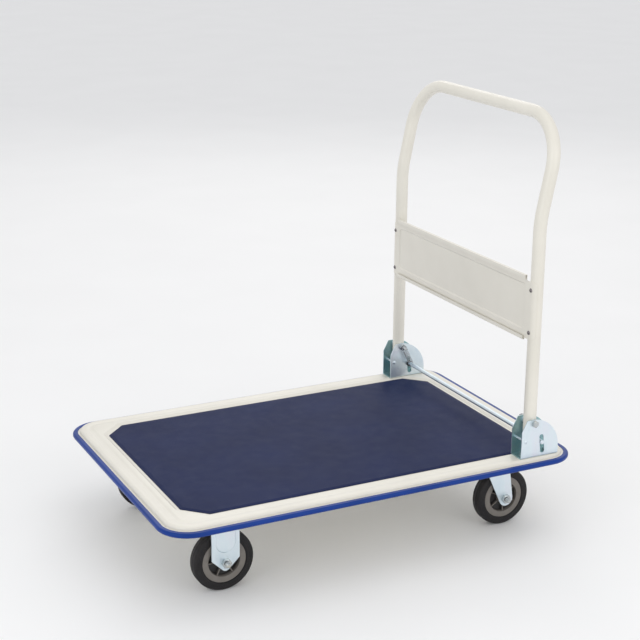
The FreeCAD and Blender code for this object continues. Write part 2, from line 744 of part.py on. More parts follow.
def panel_lip(z_edge, inward, half_y, front_x, back_x):
    """Edge of the panel folded towards the deck and back over its face."""
    leaf_back = front_x - PANEL_HEM_GAP
    leaf_front = leaf_back - PANEL_SHEET
    leaf_z = sorted((z_edge, z_edge + inward * PANEL_HEM))
    fold_z = sorted((z_edge, z_edge + inward * PANEL_SHEET))
    leaf = box(leaf_front, leaf_back, -half_y, half_y, *leaf_z)
    lip = leaf.fuse(box(leaf_front, back_x, -half_y, half_y, *fold_z)).removeSplitter()
    outer_edge = []
    for edge in horizontal_edges(lip, z_edge):
        if edge.BoundBox.YLength > half_y and edge.BoundBox.XMax < leaf_front + 0.1:
            outer_edge.append(edge)
    return lip.makeFillet(PANEL_HEM_R, outer_edge)


def handle_panel():
    """Pressed panel on the deck side of the posts, with a sunk field and folded lips."""
    back_x = POST_X - TUBE_R - PANEL_CLEARANCE
    front_x = back_x - PANEL_SHEET
    half_y = POST_Y - TUBE_R - PANEL_END_GAP
    sheet = box(front_x, back_x, -half_y, half_y, PANEL_LOW_Z, PANEL_TOP_Z)
    sheet = sheet.fuse(wrapped_tabs(front_x, back_x))
    sheet = sheet.fuse(pressed_field(back_x)).cut(pressed_field(front_x))
    for z_edge, inward in ((PANEL_TOP_Z, -1), (PANEL_LOW_Z, 1)):
        sheet = sheet.fuse(panel_lip(z_edge, inward, half_y, front_x, back_x))
    for side in (-1, 1):
        for z in (SCREW_LOW_Z, SCREW_TOP_Z):
            sheet = sheet.cut(rod(SCREW_R, 10, V(front_x - 5, side * POST_Y, z), X_AXIS))
    return sheet.removeSplitter()


def panel_screws():
    """Pan-head screws through the panel's ends into the posts."""
    seat_x = POST_X - TUBE_R - PANEL_CLEARANCE - PANEL_SHEET
    screws = []
    for side in (-1, 1):
        for z in (SCREW_LOW_Z, SCREW_TOP_Z):
            centre = V(seat_x, side * POST_Y, z)
            head = dome(SCREW_HEAD_R, SCREW_HEAD, centre, X_AXIS * -1)
            for y_half, z_half in ((0.5, 2.6), (2.6, 0.5)):
                head = head.cut(box(
                    seat_x - SCREW_HEAD - 1, seat_x - SCREW_HEAD + SCREW_SLOT,
                    centre.y - y_half, centre.y + y_half, z - z_half, z + z_half))
            screws.append(head.fuse(rod(SCREW_R - 0.02, SCREW_LENGTH, centre, X_AXIS)))
    return screws


# ---- casters ----------------------------------------------------------------
def caster_plate(centre_x, centre_y):
    low = CASTER_SEAT_Z - PLATE_SHEET
    plate = box(
        centre_x - PLATE_LENGTH / 2, centre_x + PLATE_LENGTH / 2,
        centre_y - PLATE_WIDTH / 2, centre_y + PLATE_WIDTH / 2, low, CASTER_SEAT_Z,
    )
    corners = [e for e in plate.Edges if e.BoundBox.ZLength > PLATE_SHEET / 2]
    plate = plate.makeFillet(8.0, corners)
    for x, y in plate_bolt_places(centre_x, centre_y):
        plate = plate.cut(along_z(M8_HOLE_R, x, y, low - 1, CASTER_SEAT_Z + 1))
    return plate


def fork_shell(x0, x1, y_centre, top_z):
    """Upside-down U of sheet along X, from which both legs are trimmed."""
    outer = box(x0, x1, y_centre - FORK_OUTER, y_centre + FORK_OUTER, 0, top_z)
    outer = outer.makeFillet(5.0, [e for e in horizontal_edges(outer, top_z) if e.BoundBox.XLength > 1])
    half = FORK_OUTER - FORK_SHEET
    inner = box(x0 - 1, x1 + 1, y_centre - half, y_centre + half, -1, top_z - FORK_SHEET)
    inner_edges = horizontal_edges(inner, top_z - FORK_SHEET)
    inner = inner.makeFillet(2.5, [e for e in inner_edges if e.BoundBox.XLength > 1])
    return outer.cut(inner)


def axle_hole(fork, axle_x, y_centre):
    return fork.cut(along_y(AXLE_R + 0.2, axle_x, WHEEL_R, y_centre - 30, y_centre + 30))


def fixed_fork(side):
    x = FIXED_X
    y = side * FIXED_Y
    shoulder = WHEEL_R + FIXED_LEG_SHOULDER
    shell = fork_shell(x - FIXED_LEG_HALF, x + FIXED_LEG_HALF, y, CASTER_SEAT_Z)
    outline = leg_wire(
        [(x - FIXED_LEG_HALF, CASTER_SEAT_Z), (x - FIXED_LEG_HALF, shoulder)],
        [(x + FIXED_LEG_HALF, CASTER_SEAT_Z), (x + FIXED_LEG_HALF, shoulder)],
        (x, WHEEL_R - FIXED_NOSE_DROP), FIXED_NOSE_R, y - 30,
    )
    fork = shell.common(prism(outline, V(0, 60, 0)))
    for out in (-1, 1):
        face = y + out * FORK_OUTER
        pad = flute(x, FLUTE_HALF, FLUTE_TOP_Z, FLUTE_LOW_Z, face, out)
        dent = flute(
            x, FLUTE_HALF - FLUTE_WALL, FLUTE_TOP_Z - FLUTE_WALL, FLUTE_LOW_Z + FLUTE_WALL,
            face - out * FORK_SHEET, out)
        fork = fork.fuse(pad).cut(dent)
    fork = fork.fuse(caster_plate(x, y))
    return axle_hole(fork, x, y)


def swivel_plate(side):
    y = side * SWIVEL_Y
    low = CASTER_SEAT_Z - PLATE_SHEET
    race_low = CROWN_TOP_Z + BALL_SEAT + 2 * BALL_R + BALL_PLAY
    race = along_z(RACE_R, SWIVEL_X, y, race_low, low)
    race = race.makeFillet(2.0, horizontal_edges(race, race_low))
    plate = caster_plate(SWIVEL_X, y).fuse(race)
    return plate.cut(along_z(KING_PIN_R, SWIVEL_X, y, low - 10, CASTER_SEAT_Z + 1))


def ball_ring(side):
    balls = []
    z = CROWN_TOP_Z + BALL_SEAT + BALL_R
    for k in range(BALL_COUNT):
        angle = 2 * math.pi * k / BALL_COUNT
        x = SWIVEL_X + BALL_CIRCLE_R * math.cos(angle)
        y = side * SWIVEL_Y + BALL_CIRCLE_R * math.sin(angle)
        balls.append(Part.makeSphere(BALL_R, V(x, y, z)))
    return balls


def king_pin(side):
    """Pin through plate and crown, peened over under the crown."""
    y = side * SWIVEL_Y
    shank = along_z(KING_PIN_R, SWIVEL_X, y, CROWN_TOP_Z - 9.0, CASTER_SEAT_Z)
    washer = along_z(KING_WASHER_R, SWIVEL_X, y, CROWN_TOP_Z - 5.0, CROWN_TOP_Z - 3.2)
    head = dome(KING_HEAD_R, 4.0, V(SWIVEL_X, y, CROWN_TOP_Z - 5.0), Z_AXIS * -1)
    return shank.fuse([washer, head])


def swivel_fork(side):
    """Trailing fork: crown under the swivel bearing, legs swept back to the axle."""
    y = side * SWIVEL_Y
    axle_x = SWIVEL_X + SWIVEL_TRAIL
    front = SWIVEL_X - SWIVEL_LEG_FRONT
    rear = SWIVEL_X + SWIVEL_LEG_REAR
    nose = (axle_x + SWIVEL_NOSE_SHIFT, WHEEL_R - SWIVEL_NOSE_DROP)
    shell = fork_shell(front - 5, rear + 20, y, CROWN_TOP_Z)
    outline = leg_wire([(front, CROWN_TOP_Z)], [(rear, CROWN_TOP_Z)], nose, SWIVEL_NOSE_R, y - 30)
    fork = shell.common(prism(outline, V(0, 60, 0)))
    crown = along_z(CROWN_R, SWIVEL_X, y, CROWN_TOP_Z - FORK_SHEET, CROWN_TOP_Z)
    fork = fork.fuse(crown)
    fork = fork.cut(along_z(KING_PIN_R + RUNNING_GAP, SWIVEL_X, y, CROWN_TOP_Z - 10, CROWN_TOP_Z + 5))
    return axle_hole(fork, axle_x, y)


def lower_race(side):
    """Dished ring on the crown that carries the balls and keeps dirt out."""
    y = side * SWIVEL_Y
    lip_z = CROWN_TOP_Z + RACE_LIP
    cup = along_z(CROWN_R, SWIVEL_X, y, CROWN_TOP_Z, lip_z)
    cup = cup.makeFillet(1.5, horizontal_edges(cup, lip_z))
    cup = cup.cut(along_z(CROWN_R - RACE_WALL, SWIVEL_X, y, CROWN_TOP_Z + 0.7, lip_z + 1))
    return cup.cut(along_z(KING_WASHER_R, SWIVEL_X, y, CROWN_TOP_Z - 1, lip_z + 1))


def axle_bolt(axle_x, y_centre, side):
    """Axle bolt, head inboard, its threaded end standing out past the nut."""
    start = V(axle_x, y_centre - side * FORK_OUTER, WHEEL_R)
    length = 2 * FORK_OUTER + M10_NUT + AXLE_TAIL
    bolt = hex_bolt(AXLE_R, M10_FLATS, M10_HEAD, length, start, Y_AXIS * side)
    end_y = start.y + side * length
    end_edge = []
    for edge in bolt.Edges:
        if abs(edge.BoundBox.YMin - end_y) < 1e-4 and abs(edge.BoundBox.YMax - end_y) < 1e-4:
            end_edge.append(edge)
    return bolt.makeChamfer(1.0, end_edge)


def axle_nut(axle_x, y_centre, side):
    seat = V(axle_x, y_centre + side * FORK_OUTER, WHEEL_R)
    return hex_nut(AXLE_R, M10_FLATS, M10_NUT, seat, Y_AXIS * side)


def all_plate_bolt_places():
    places = []
    for side in (-1, 1):
        places += plate_bolt_places(FIXED_X, side * FIXED_Y)
        places += plate_bolt_places(SWIVEL_X, side * SWIVEL_Y)
    return places


def caster_bolts():
    seat = CASTER_SEAT_Z + CHANNEL_SHEET
    bolts = []
    for x, y in all_plate_bolt_places():
        place = V(x, y, seat)
        bolts.append(hex_bolt(M8_R, M8_FLATS, M8_HEAD, PLATE_BOLT_LENGTH, place, Z_AXIS * -1))
    return bolts


def caster_nuts():
    seat = CASTER_SEAT_Z - PLATE_SHEET
    nuts = []
    for x, y in all_plate_bolt_places():
        nuts.append(hex_nut(M8_R, M8_FLATS, M8_NUT, V(x, y, seat), Z_AXIS * -1))
    return nuts


# ---- wheels -----------------------------------------------------------------
def turned(profile, centre):
    """Solid of revolution about the wheel's axle from (radius, y) points."""
    points = [V(radius, y, 0) for radius, y in profile]
    face = Part.Face(polygon_wire(points))
    body = face.revolve(V(0, 0, 0), Y_AXIS, 360)
    body.translate(centre)
    return body


def tyre(centre):
    ring = along_y(WHEEL_R, 0, 0, -TYRE_HALF_WIDTH, TYRE_HALF_WIDTH)
    outer = [e for e in ring.Edges if e.BoundBox.YLength < 0.1]
    ring = ring.makeFillet(TYRE_SHOULDER_R, outer)
    ring = ring.cut(along_y(TYRE_BORE_R, 0, 0, -TYRE_HALF_WIDTH - 1, TYRE_HALF_WIDTH + 1))
    # shallow concentric step between sidewall and hub
    for side in (-1, 1):
        step = along_y(TYRE_BORE_R + 2.5, 0, 0, side * TYRE_HALF_WIDTH - 1.2, side * TYRE_HALF_WIDTH + 1.2)
        ring = ring.cut(step)
    ring.translate(centre)
    return ring


def wheel_hub(centre, rib_angle):
    rim = [
        (HUB_RING_BORE_R, -HUB_HALF_WIDTH), (TYRE_BORE_R, -HUB_HALF_WIDTH),
        (TYRE_BORE_R, HUB_HALF_WIDTH), (HUB_RING_BORE_R, HUB_HALF_WIDTH),
        (HUB_RING_BORE_R - 1.5, HUB_WEB_HALF), (HUB_RING_BORE_R - 1.5, -HUB_WEB_HALF),
    ]
    hub = turned(rim, V(0, 0, 0))
    hub = hub.fuse(along_y(HUB_RING_BORE_R, 0, 0, -HUB_WEB_HALF, HUB_WEB_HALF))
    hub = hub.fuse(along_y(BOSS_R, 0, 0, -BOSS_HALF_LENGTH, BOSS_HALF_LENGTH))
    rib_half_width = HUB_HALF_WIDTH - HUB_RIB_RECESS
    for k in range(HUB_RIB_COUNT):
        rib = box(
            BOSS_R - 2, HUB_RING_BORE_R + 1, -rib_half_width, rib_half_width,
            -HUB_RIB_HALF, HUB_RIB_HALF)
        rib.rotate(V(0, 0, 0), Y_AXIS, -(rib_angle + 360.0 / HUB_RIB_COUNT * k))
        hub = hub.fuse(rib)
    hub = hub.cut(along_y(BUSH_R, 0, 0, -BOSS_HALF_LENGTH - 1, BOSS_HALF_LENGTH + 1))
    hub.translate(centre)
    return hub


def wheel_bush(centre):
    sleeve = along_y(BUSH_R, 0, 0, -BUSH_HALF_LENGTH, BUSH_HALF_LENGTH)
    sleeve = sleeve.cut(along_y(AXLE_R + RUNNING_GAP, 0, 0, -BUSH_HALF_LENGTH - 1, BUSH_HALF_LENGTH + 1))
    sleeve.translate(centre)
    return sleeve


# ---- assembly ---------------------------------------------------------------
SIDES = (("left", -1), ("right", 1))


def build_nodes():
    nodes = {
        "deck_pan": deck_pan(),
        "deck_mat": deck_mat(),
        "edge_bumper": edge_bumper(),
        "front_cross_channel": cross_channel(FIXED_X, FIXED_Y),
        "rear_cross_channel": cross_channel(SWIVEL_X, SWIVEL_Y),
        "bracket_bolts": bracket_bolts(),
        "bracket_nuts": bracket_nuts(),
        "stop_rivets": [stop_rivet(-1), stop_rivet(1)],
        "pivot_nuts": [pivot_nut(-1), pivot_nut(1)],
        "caster_bolts": caster_bolts(),
        "caster_nuts": caster_nuts(),
        "king_pins": [king_pin(-1), king_pin(1)],
        "bearing_balls": ball_ring(-1) + ball_ring(1),
        "front_axle_bolts": [axle_bolt(FIXED_X, s * FIXED_Y, s) for s in (-1, 1)],
        "front_axle_nuts": [axle_nut(FIXED_X, s * FIXED_Y, s) for s in (-1, 1)],
        "handle_tube": handle_tube(),
        "handle_panel": handle_panel(),
        "panel_screws": panel_screws(),
        "post_washers": post_washers(),
        "release_rod": release_rod(),
        "rod_clips": [rod_clip(-1), rod_clip(1)],
    }
    for name, side in SIDES:
        nodes["side_stiffener_" + name] = side_stiffener(side)
        nodes["fold_bracket_" + name] = fold_bracket(side)
        nodes["pivot_bolt_" + name] = pivot_bolt(side)
        nodes["return_spring_" + name] = return_spring(side)
        nodes["foot_plug_" + name] = foot_plug(side)
        nodes["pivot_bush_" + name] = pivot_bush(side)
        nodes["fixed_fork_" + name] = fixed_fork(side)
        nodes["swivel_plate_" + name] = swivel_plate(side)
        nodes["swivel_fork_" + name] = swivel_fork(side)
        nodes["lower_race_" + name] = lower_race(side)
        rear_x = SWIVEL_X + SWIVEL_TRAIL
        nodes["rear_axle_bolt_" + name] = axle_bolt(rear_x, side * SWIVEL_Y, side)
        nodes["rear_axle_nut_" + name] = axle_nut(rear_x, side * SWIVEL_Y, side)
        wheels = (
            ("front", V(FIXED_X, side * FIXED_Y, WHEEL_R), FRONT_RIB_ANGLE),
            ("rear", V(rear_x, side * SWIVEL_Y, WHEEL_R), REAR_RIB_ANGLE),
        )
        for end, centre, angle in wheels:
            nodes[f"{end}_tyre_{name}"] = tyre(centre)
            nodes[f"{end}_hub_{name}"] = wheel_hub(centre, angle)
            nodes[f"{end}_wheel_bush_{name}"] = wheel_bush(centre)
    return nodes


def export(name, shape):
    if isinstance(shape, list):
        shape = Part.makeCompound(shape)
    shape.exportStep(os.path.join("parts", name + ".step"))
    solids = shape.Solids
    volume = sum(solid.Volume for solid in solids) / 1000
    print(f"{name:24s} solids {len(solids):3d} valid {shape.isValid()} volume {volume:9.2f} cm3")


os.makedirs("parts", exist_ok=True)
for node_name, node_shape in build_nodes().items():
    export(node_name, node_shape)
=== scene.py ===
import json
import math

import bpy
from mathutils import Matrix, Vector


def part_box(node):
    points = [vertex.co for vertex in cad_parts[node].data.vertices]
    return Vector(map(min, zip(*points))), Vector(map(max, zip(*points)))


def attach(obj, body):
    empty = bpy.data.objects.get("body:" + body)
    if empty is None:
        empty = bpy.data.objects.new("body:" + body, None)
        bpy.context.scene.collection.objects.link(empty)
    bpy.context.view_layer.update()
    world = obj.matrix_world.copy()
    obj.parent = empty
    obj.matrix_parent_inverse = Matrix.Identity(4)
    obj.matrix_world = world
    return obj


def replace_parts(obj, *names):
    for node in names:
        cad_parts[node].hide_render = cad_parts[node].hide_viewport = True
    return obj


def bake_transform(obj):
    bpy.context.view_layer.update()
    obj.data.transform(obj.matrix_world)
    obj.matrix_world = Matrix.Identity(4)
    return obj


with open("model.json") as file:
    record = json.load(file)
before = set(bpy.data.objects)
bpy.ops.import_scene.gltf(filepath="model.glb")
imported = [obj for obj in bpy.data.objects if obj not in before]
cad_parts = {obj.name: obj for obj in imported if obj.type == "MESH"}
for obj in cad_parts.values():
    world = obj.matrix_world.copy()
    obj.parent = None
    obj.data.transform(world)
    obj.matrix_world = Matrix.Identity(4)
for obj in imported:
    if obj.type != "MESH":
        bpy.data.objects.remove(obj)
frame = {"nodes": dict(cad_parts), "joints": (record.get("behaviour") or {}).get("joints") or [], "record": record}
NODES = frame["nodes"]
JOINTS = {j["name"]: j for j in frame["joints"]}
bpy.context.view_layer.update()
SIDES = (("left", -1), ("right", 1))
MM = 0.001


# ---- camera, light, floor ---------------------------------------------------
CAMERA_AT = (-1.30143, -2.58545, 1.35523)
CAMERA_AZIMUTH = math.radians(26.79)
CAMERA_ELEVATION = math.radians(17.51)
CAMERA_ROLL = math.radians(0.47)
CAMERA_LENS = 82.82             # mm
CAMERA_SENSOR = 36.0            # mm
CAMERA_REACH = (0.05, 60.0)     # nearest and farthest distance drawn

FLOOR_SIZE = 60.0
WORLD_TINT = (0.98, 0.985, 1.0)
WORLD_STRENGTH = 0.80
# Name, place, point it faces, width and height, power in watts, tint.
SOFT_BOXES = (
    ("top_box", (0.2, -0.3, 3.4), (0, 0, 0.3), (3.2, 2.6), 13, (1.0, 0.99, 0.98)),
    ("left_box", (-3.2, -1.6, 1.8), (0, 0, 0.4), (2.2, 2.4), 21, (0.96, 0.985, 1.0)),
    ("front_box", (1.3, -3.6, 1.7), (0.2, 0, 0.4), (2.4, 2.0), 18, (1.0, 0.99, 0.97)),
    ("back_box", (1.8, 3.2, 2.6), (0, 0, 0.4), (2.4, 2.0), 15, (1.0, 0.98, 0.94)),
)


def make_camera():
    """Camera where the photograph's stood, rolled a little about its line of sight."""
    a, e, roll = CAMERA_AZIMUTH, CAMERA_ELEVATION, CAMERA_ROLL
    ahead = Vector((math.sin(a) * math.cos(e), math.cos(a) * math.cos(e), -math.sin(e)))
    right = ahead.cross(Vector((0, 0, 1))).normalized()
    up = right.cross(ahead)
    turned_right = right * math.cos(roll) + up * math.sin(roll)
    turned_up = up * math.cos(roll) - right * math.sin(roll)
    camera = bpy.data.objects.new("camera", bpy.data.cameras.new("camera"))
    camera.data.sensor_width = CAMERA_SENSOR
    camera.data.lens = CAMERA_LENS
    camera.data.clip_start, camera.data.clip_end = CAMERA_REACH
    turn = Matrix((turned_right, turned_up, -ahead)).transposed()
    camera.matrix_world = Matrix.Translation(CAMERA_AT) @ turn.to_4x4()
    bpy.context.scene.collection.objects.link(camera)
    bpy.context.scene.camera = camera


def area_light(name, place, target, size, power, tint):
    light = bpy.data.lights.new(name, "AREA")
    light.shape = "RECTANGLE"
    light.size, light.size_y = size
    light.energy = power
    light.color = tint
    holder = bpy.data.objects.new(name, light)
    turn = (Vector(target) - Vector(place)).to_track_quat("-Z", "Y")
    holder.matrix_world = Matrix.Translation(place) @ turn.to_matrix().to_4x4()
    bpy.context.scene.collection.objects.link(holder)


def make_studio():
    """Large soft boxes round the object, a pale world and a pale floor."""
    world = bpy.data.worlds.new("studio")
    world.use_nodes = True
    back = world.node_tree.nodes["Background"]
    back.inputs["Color"].default_value = (*WORLD_TINT, 1.0)
    back.inputs["Strength"].default_value = WORLD_STRENGTH
    bpy.context.scene.world = world
    for box in SOFT_BOXES:
        area_light(*box)

    floor = mesh_object("floor", *floor_plate(FLOOR_SIZE), floor_paint())
    bpy.context.scene.view_settings.view_transform = "Standard"


# ---- mesh helpers -----------------------------------------------------------
def mesh_object(name, verts, faces, material, crease=35.0):
    """Smooth object whose edges stay sharp where faces meet at more than crease degrees."""
    mesh = bpy.data.meshes.new(name)
    mesh.from_pydata([tuple(v) for v in verts], [], faces)
    mesh.validate()
    mesh.materials.append(material)
    mesh.shade_smooth()
    mesh.set_sharp_from_angle(angle=math.radians(crease))
    piece = bpy.data.objects.new(name, mesh)
    bpy.context.scene.collection.objects.link(piece)
    return piece


def floor_plate(size):
    """Square on the ground, centred on the origin."""
    half = size / 2
    verts = [(-half, -half, 0.0), (half, -half, 0.0), (half, half, 0.0), (-half, half, 0.0)]
    return verts, [(0, 1, 2, 3)]


def join_parts(parts):
    """One vertex and face list out of several."""
    verts, faces = [], []
    for part_verts, part_faces in parts:
        start = len(verts)
        verts += list(part_verts)
        faces += [tuple(start + i for i in face) for face in part_faces]
    return verts, faces


def moved(part, place):
    verts, faces = part
    return [Vector(v) + Vector(place) for v in verts], faces


def lathe_y(profile, segments, closed=True):
    """Ring turned about the Y axis from (radius, y) points, which run round the section."""
    verts, faces = [], []
    count = len(profile)
    for k in range(segments):
        angle = 2 * math.pi * k / segments
        c, s = math.cos(angle), math.sin(angle)
        verts += [Vector((r * c, y, r * s)) for r, y in profile]
    spans = count if closed else count - 1
    for k in range(segments):
        a, b = k * count, (k + 1) % segments * count
        for i in range(spans):
            j = (i + 1) % count
            faces.append((a + i, a + j, b + j, b + i))
    return verts, faces


def skin_faces(rings, sides):
    """Faces over vertices that are listed ring by ring, with a flat at each end."""
    faces = []
    for i in range(rings - 1):
        for k in range(sides):
            n = (k + 1) % sides
            low, high = i * sides, (i + 1) * sides
            faces.append((low + k, low + n, high + n, high + k))
    faces.append(tuple(reversed(range(sides))))
    faces.append(tuple((rings - 1) * sides + k for k in range(sides)))
    return faces


def tube_along(points, radius, sides):
    """Round bar that follows points, with a frame carried along so that it never twists."""
    verts = []
    count = len(points)
    normal = None
    for i, point in enumerate(points):
        before = points[max(i - 1, 0)]
        after = points[min(i + 1, count - 1)]
        tangent = (after - before).normalized()
        if normal is None:
            guide = Vector((0, 0, 1)) if abs(tangent.z) < 0.9 else Vector((1, 0, 0))
            normal = tangent.cross(guide).normalized()
        normal = (normal - tangent * normal.dot(tangent)).normalized()
        side = tangent.cross(normal)
        for k in range(sides):
            angle = 2 * math.pi * k / sides
            verts.append(point + (normal * math.cos(angle) + side * math.sin(angle)) * radius)
    return verts, skin_faces(count, sides)


def turned_bar(profile, segments):
    """Solid bar turned about the Y axis from (radius, y) points, closed by a flat at each end."""
    verts, faces = lathe_y(profile, segments, closed=False)
    count = len(profile)
    faces.append(tuple(k * count for k in range(segments)))
    faces.append(tuple((segments - 1 - k) * count + count - 1 for k in range(segments)))
    return verts, faces


def oriented(part, place, axis):
    """Part built along +Y from the origin, turned along axis and set down at place."""
    verts, faces = part
    turn = Vector((0, 1, 0)).rotation_difference(Vector(axis)).to_matrix()
    return [turn @ v + Vector(place) for v in verts], faces


def arc_points(centre, radius, start_deg, end_deg, steps):
    """Points on an arc in a profile plane."""
    across, along = centre
    points = []
    for k in range(steps + 1):
        angle = math.radians(start_deg + (end_deg - start_deg) * k / steps)
        points.append((across + radius * math.cos(angle), along + radius * math.sin(angle)))
    return points


# ---- materials --------------------------------------------------------------
# Noise scales are per metre, and bump distances are metres.
GRAIN_PITCH = 4.0 * MM          # of the mat's pressed diamonds
RECESS_SHADE_REACH = (3.0 * MM, 9.5 * MM)      # off a hub's middle plane: where the painted shade thins, where it ends
CHEEK_SKIN = 1.2 * MM           # from a bracket's outer faces in to where its painted shade and reflection begin


class Recipe:
    """Short way to wire a principled material."""

    def __init__(self, name, colour, roughness, metallic=0.0):
        self.material = bpy.data.materials.new(name)
        self.material.use_nodes = True
        self.tree = self.material.node_tree
        self.shader = self.tree.nodes["Principled BSDF"]
        self.shader.inputs["Base Color"].default_value = (*colour, 1.0)
        self.shader.inputs["Roughness"].default_value = roughness
        self.shader.inputs["Metallic"].default_value = metallic
        self.coordinates = self.node("ShaderNodeTexCoord").outputs["Object"]
        self.height = None

    def node(self, kind, **values):
        made = self.tree.nodes.new(kind)
        for key, value in values.items():
            setattr(made, key, value)
        return made

    def link(self, source, target):
        self.tree.links.new(source, target)

    def set(self, socket, value):
        self.shader.inputs[socket].default_value = value

    def stretched(self, scale):
        mapping = self.node("ShaderNodeMapping")
        mapping.inputs["Scale"].default_value = scale
        self.link(self.coordinates, mapping.inputs["Vector"])
        return mapping.outputs["Vector"]

    def noise(self, scale, detail=2.0, stretch=None, roughness=0.5):
        texture = self.node("ShaderNodeTexNoise")
        texture.inputs["Scale"].default_value = scale
        texture.inputs["Detail"].default_value = detail
        texture.inputs["Roughness"].default_value = roughness
        source = self.coordinates if stretch is None else self.stretched(stretch)
        self.link(source, texture.inputs["Vector"])
        return texture.outputs["Fac"]

    def ramp(self, source, stops):
        ramp = self.node("ShaderNodeValToRGB")
        elements = ramp.color_ramp.elements
        while len(elements) < len(stops):
            elements.new(0.5)
        for element, (position, colour) in zip(elements, stops):
            element.position = position
            element.color = (*colour, 1.0)
        self.link(source, ramp.inputs["Fac"])
        return ramp.outputs["Color"]

    def range(self, source, low, high, from_low=0.0, from_high=1.0):
        spread = self.node("ShaderNodeMapRange")
        spread.inputs["From Min"].default_value = from_low
        spread.inputs["From Max"].default_value = from_high
        spread.inputs["To Min"].default_value = low
        spread.inputs["To Max"].default_value = high
        self.link(source, spread.inputs["Value"])
        return spread.outputs["Result"]

    def math(self, operation, a, b):
        made = self.node("ShaderNodeMath", operation=operation)
        for socket, value in zip(made.inputs, (a, b)):
            if isinstance(value, (int, float)):
                socket.default_value = value
            else:
                self.link(value, socket)
        return made.outputs["Value"]

    def mix(self, factor, first, second):
        """Colour that goes from first to second, each a colour or a socket."""
        made = self.node("ShaderNodeMix", data_type="RGBA")
        self.link(factor, made.inputs[0])
        for socket, value in ((made.inputs[6], first), (made.inputs[7], second)):
            if isinstance(value, tuple):
                socket.default_value = (*value, 1.0)
            else:
                self.link(value, socket)
        return made.outputs[2]

    def off_plane(self, plane_y):
        """Distance from the two upright planes at plane_y to the left and right of the middle."""
        parts = self.node("ShaderNodeSeparateXYZ")
        self.link(self.coordinates, parts.inputs["Vector"])
        beside = self.math("ABSOLUTE", parts.outputs["Y"], 0.0)
        return self.math("ABSOLUTE", self.math("SUBTRACT", beside, plane_y), 0.0)

    def paint(self, source):
        self.link(source, self.shader.inputs["Base Color"])

    def mottle(self, stops, *noise):
        """Colour that wanders along stops over noise."""
        self.paint(self.ramp(self.noise(*noise), stops))

    def roughen(self, low, high, *noise):
        """Roughness that wanders between low and high over noise."""
        self.link(self.range(self.noise(*noise), low, high), self.shader.inputs["Roughness"])

    def bump(self, height, strength, distance):
        """Adds a layer of relief on top of the ones before it."""
        made = self.node("ShaderNodeBump")
        made.inputs["Strength"].default_value = strength
        made.inputs["Distance"].default_value = distance
        self.link(height, made.inputs["Height"])
        if self.height is not None:
            self.link(self.height, made.inputs["Normal"])
        self.height = made.outputs["Normal"]
        self.link(self.height, self.shader.inputs["Normal"])


def floor_paint():
    """Pale floor with a hardly visible change of tone."""
    recipe = Recipe("studio_floor", (0.93, 0.93, 0.93), 0.8)
    recipe.mottle([(0.3, (0.925, 0.925, 0.925)), (0.7, (0.94, 0.94, 0.94))], 3.0)
    return recipe.material


def powder_coat():
    """Warm ivory powder coat: faint orange peel and slow tone changes."""
    recipe = Recipe("ivory_powder_coat", (0.80, 0.775, 0.70), 0.36)
    recipe.mottle([(0.3, (0.760, 0.730, 0.650)), (0.7, (0.815, 0.785, 0.705))], 9.0, 3.0)
    recipe.roughen(0.30, 0.42, 60.0)
    recipe.bump(recipe.noise(420.0, 2.0), 0.10, 0.0006)
    recipe.bump(recipe.noise(1900.0, 1.0), 0.05, 0.0002)
    recipe.set("Coat Weight", 0.25)
    recipe.set("Coat Roughness", 0.22)
    return recipe.material


def zinc_plate(name="zinc_plate", inside_of=None, inside_half=0.0):
    """Bright zinc with a thin passivation film that tints it pale blue, green and straw.

    Between the cheeks of a pair of folded parts, one each side of the trolley, a darker teal is
    painted in as shade and reflected blue-green light: inside_of is how far out their middle planes
    stand, and inside_half is how far to each side of those planes the painted tint reaches.
    """
    recipe = Recipe(name, (0.72, 0.80, 0.86), 0.34, 0.82)
    film_with_painted_shade = recipe.ramp(recipe.noise(22.0, 3.0, (1.0, 1.0, 0.45), 0.6), [
        (0.30, (0.66, 0.77, 0.84)),
        (0.48, (0.74, 0.83, 0.88)),
        (0.62, (0.75, 0.80, 0.87)),
        (0.76, (0.78, 0.83, 0.82)),
    ])
    if inside_of is not None:
        # painted shade and reflection: a darker teal between each bracket's cheeks, where the inner faces lie in
        # shade and take blue-green light
        painted_shade_and_reflection = recipe.ramp(recipe.noise(30.0, 3.0), [
            (0.30, (0.26, 0.46, 0.54)), (0.50, (0.40, 0.58, 0.58)), (0.72, (0.32, 0.50, 0.58))])
        inside = recipe.math("LESS_THAN", recipe.off_plane(inside_of), inside_half)
        film_with_painted_shade = recipe.mix(inside, film_with_painted_shade, painted_shade_and_reflection)
    recipe.paint(film_with_painted_shade)
    recipe.roughen(0.26, 0.44, 75.0, 3.0)
    recipe.bump(recipe.noise(260.0, 3.0, (1.0, 1.0, 0.08)), 0.06, 0.0004)
    recipe.bump(recipe.noise(900.0, 2.0), 0.08, 0.0002)
    return recipe.material


def mat_vinyl():
    """Navy vinyl with a fine pressed diamond grain."""
    recipe = Recipe("mat_vinyl", (0.012, 0.017, 0.075), 0.42)
    recipe.mottle([(0.3, (0.005, 0.010, 0.050)), (0.7, (0.007, 0.014, 0.066))], 7.0, 3.0)
    parts = recipe.node("ShaderNodeSeparateXYZ")
    recipe.link(recipe.coordinates, parts.inputs["Vector"])
    x, y = parts.outputs["X"], parts.outputs["Y"]
    waves = []
    for operation in ("ADD", "SUBTRACT"):
        slant = recipe.math("MULTIPLY", recipe.math(operation, x, y), 2 * math.pi / GRAIN_PITCH)
        waves.append(recipe.math("SINE", slant, 0.0))
    diamonds = recipe.math("MULTIPLY", *waves)
    recipe.bump(recipe.range(diamonds, 0.0, 1.0, -0.6, 0.6), 0.35, 0.0004)
    recipe.bump(recipe.noise(1500.0, 2.0), 0.12, 0.0002)
    recipe.roughen(0.48, 0.60, 40.0, 2.0)
    recipe.set("Specular IOR Level", 0.22)
    recipe.set("Specular Tint", (0.38, 0.50, 1.0, 1.0))
    return recipe.material


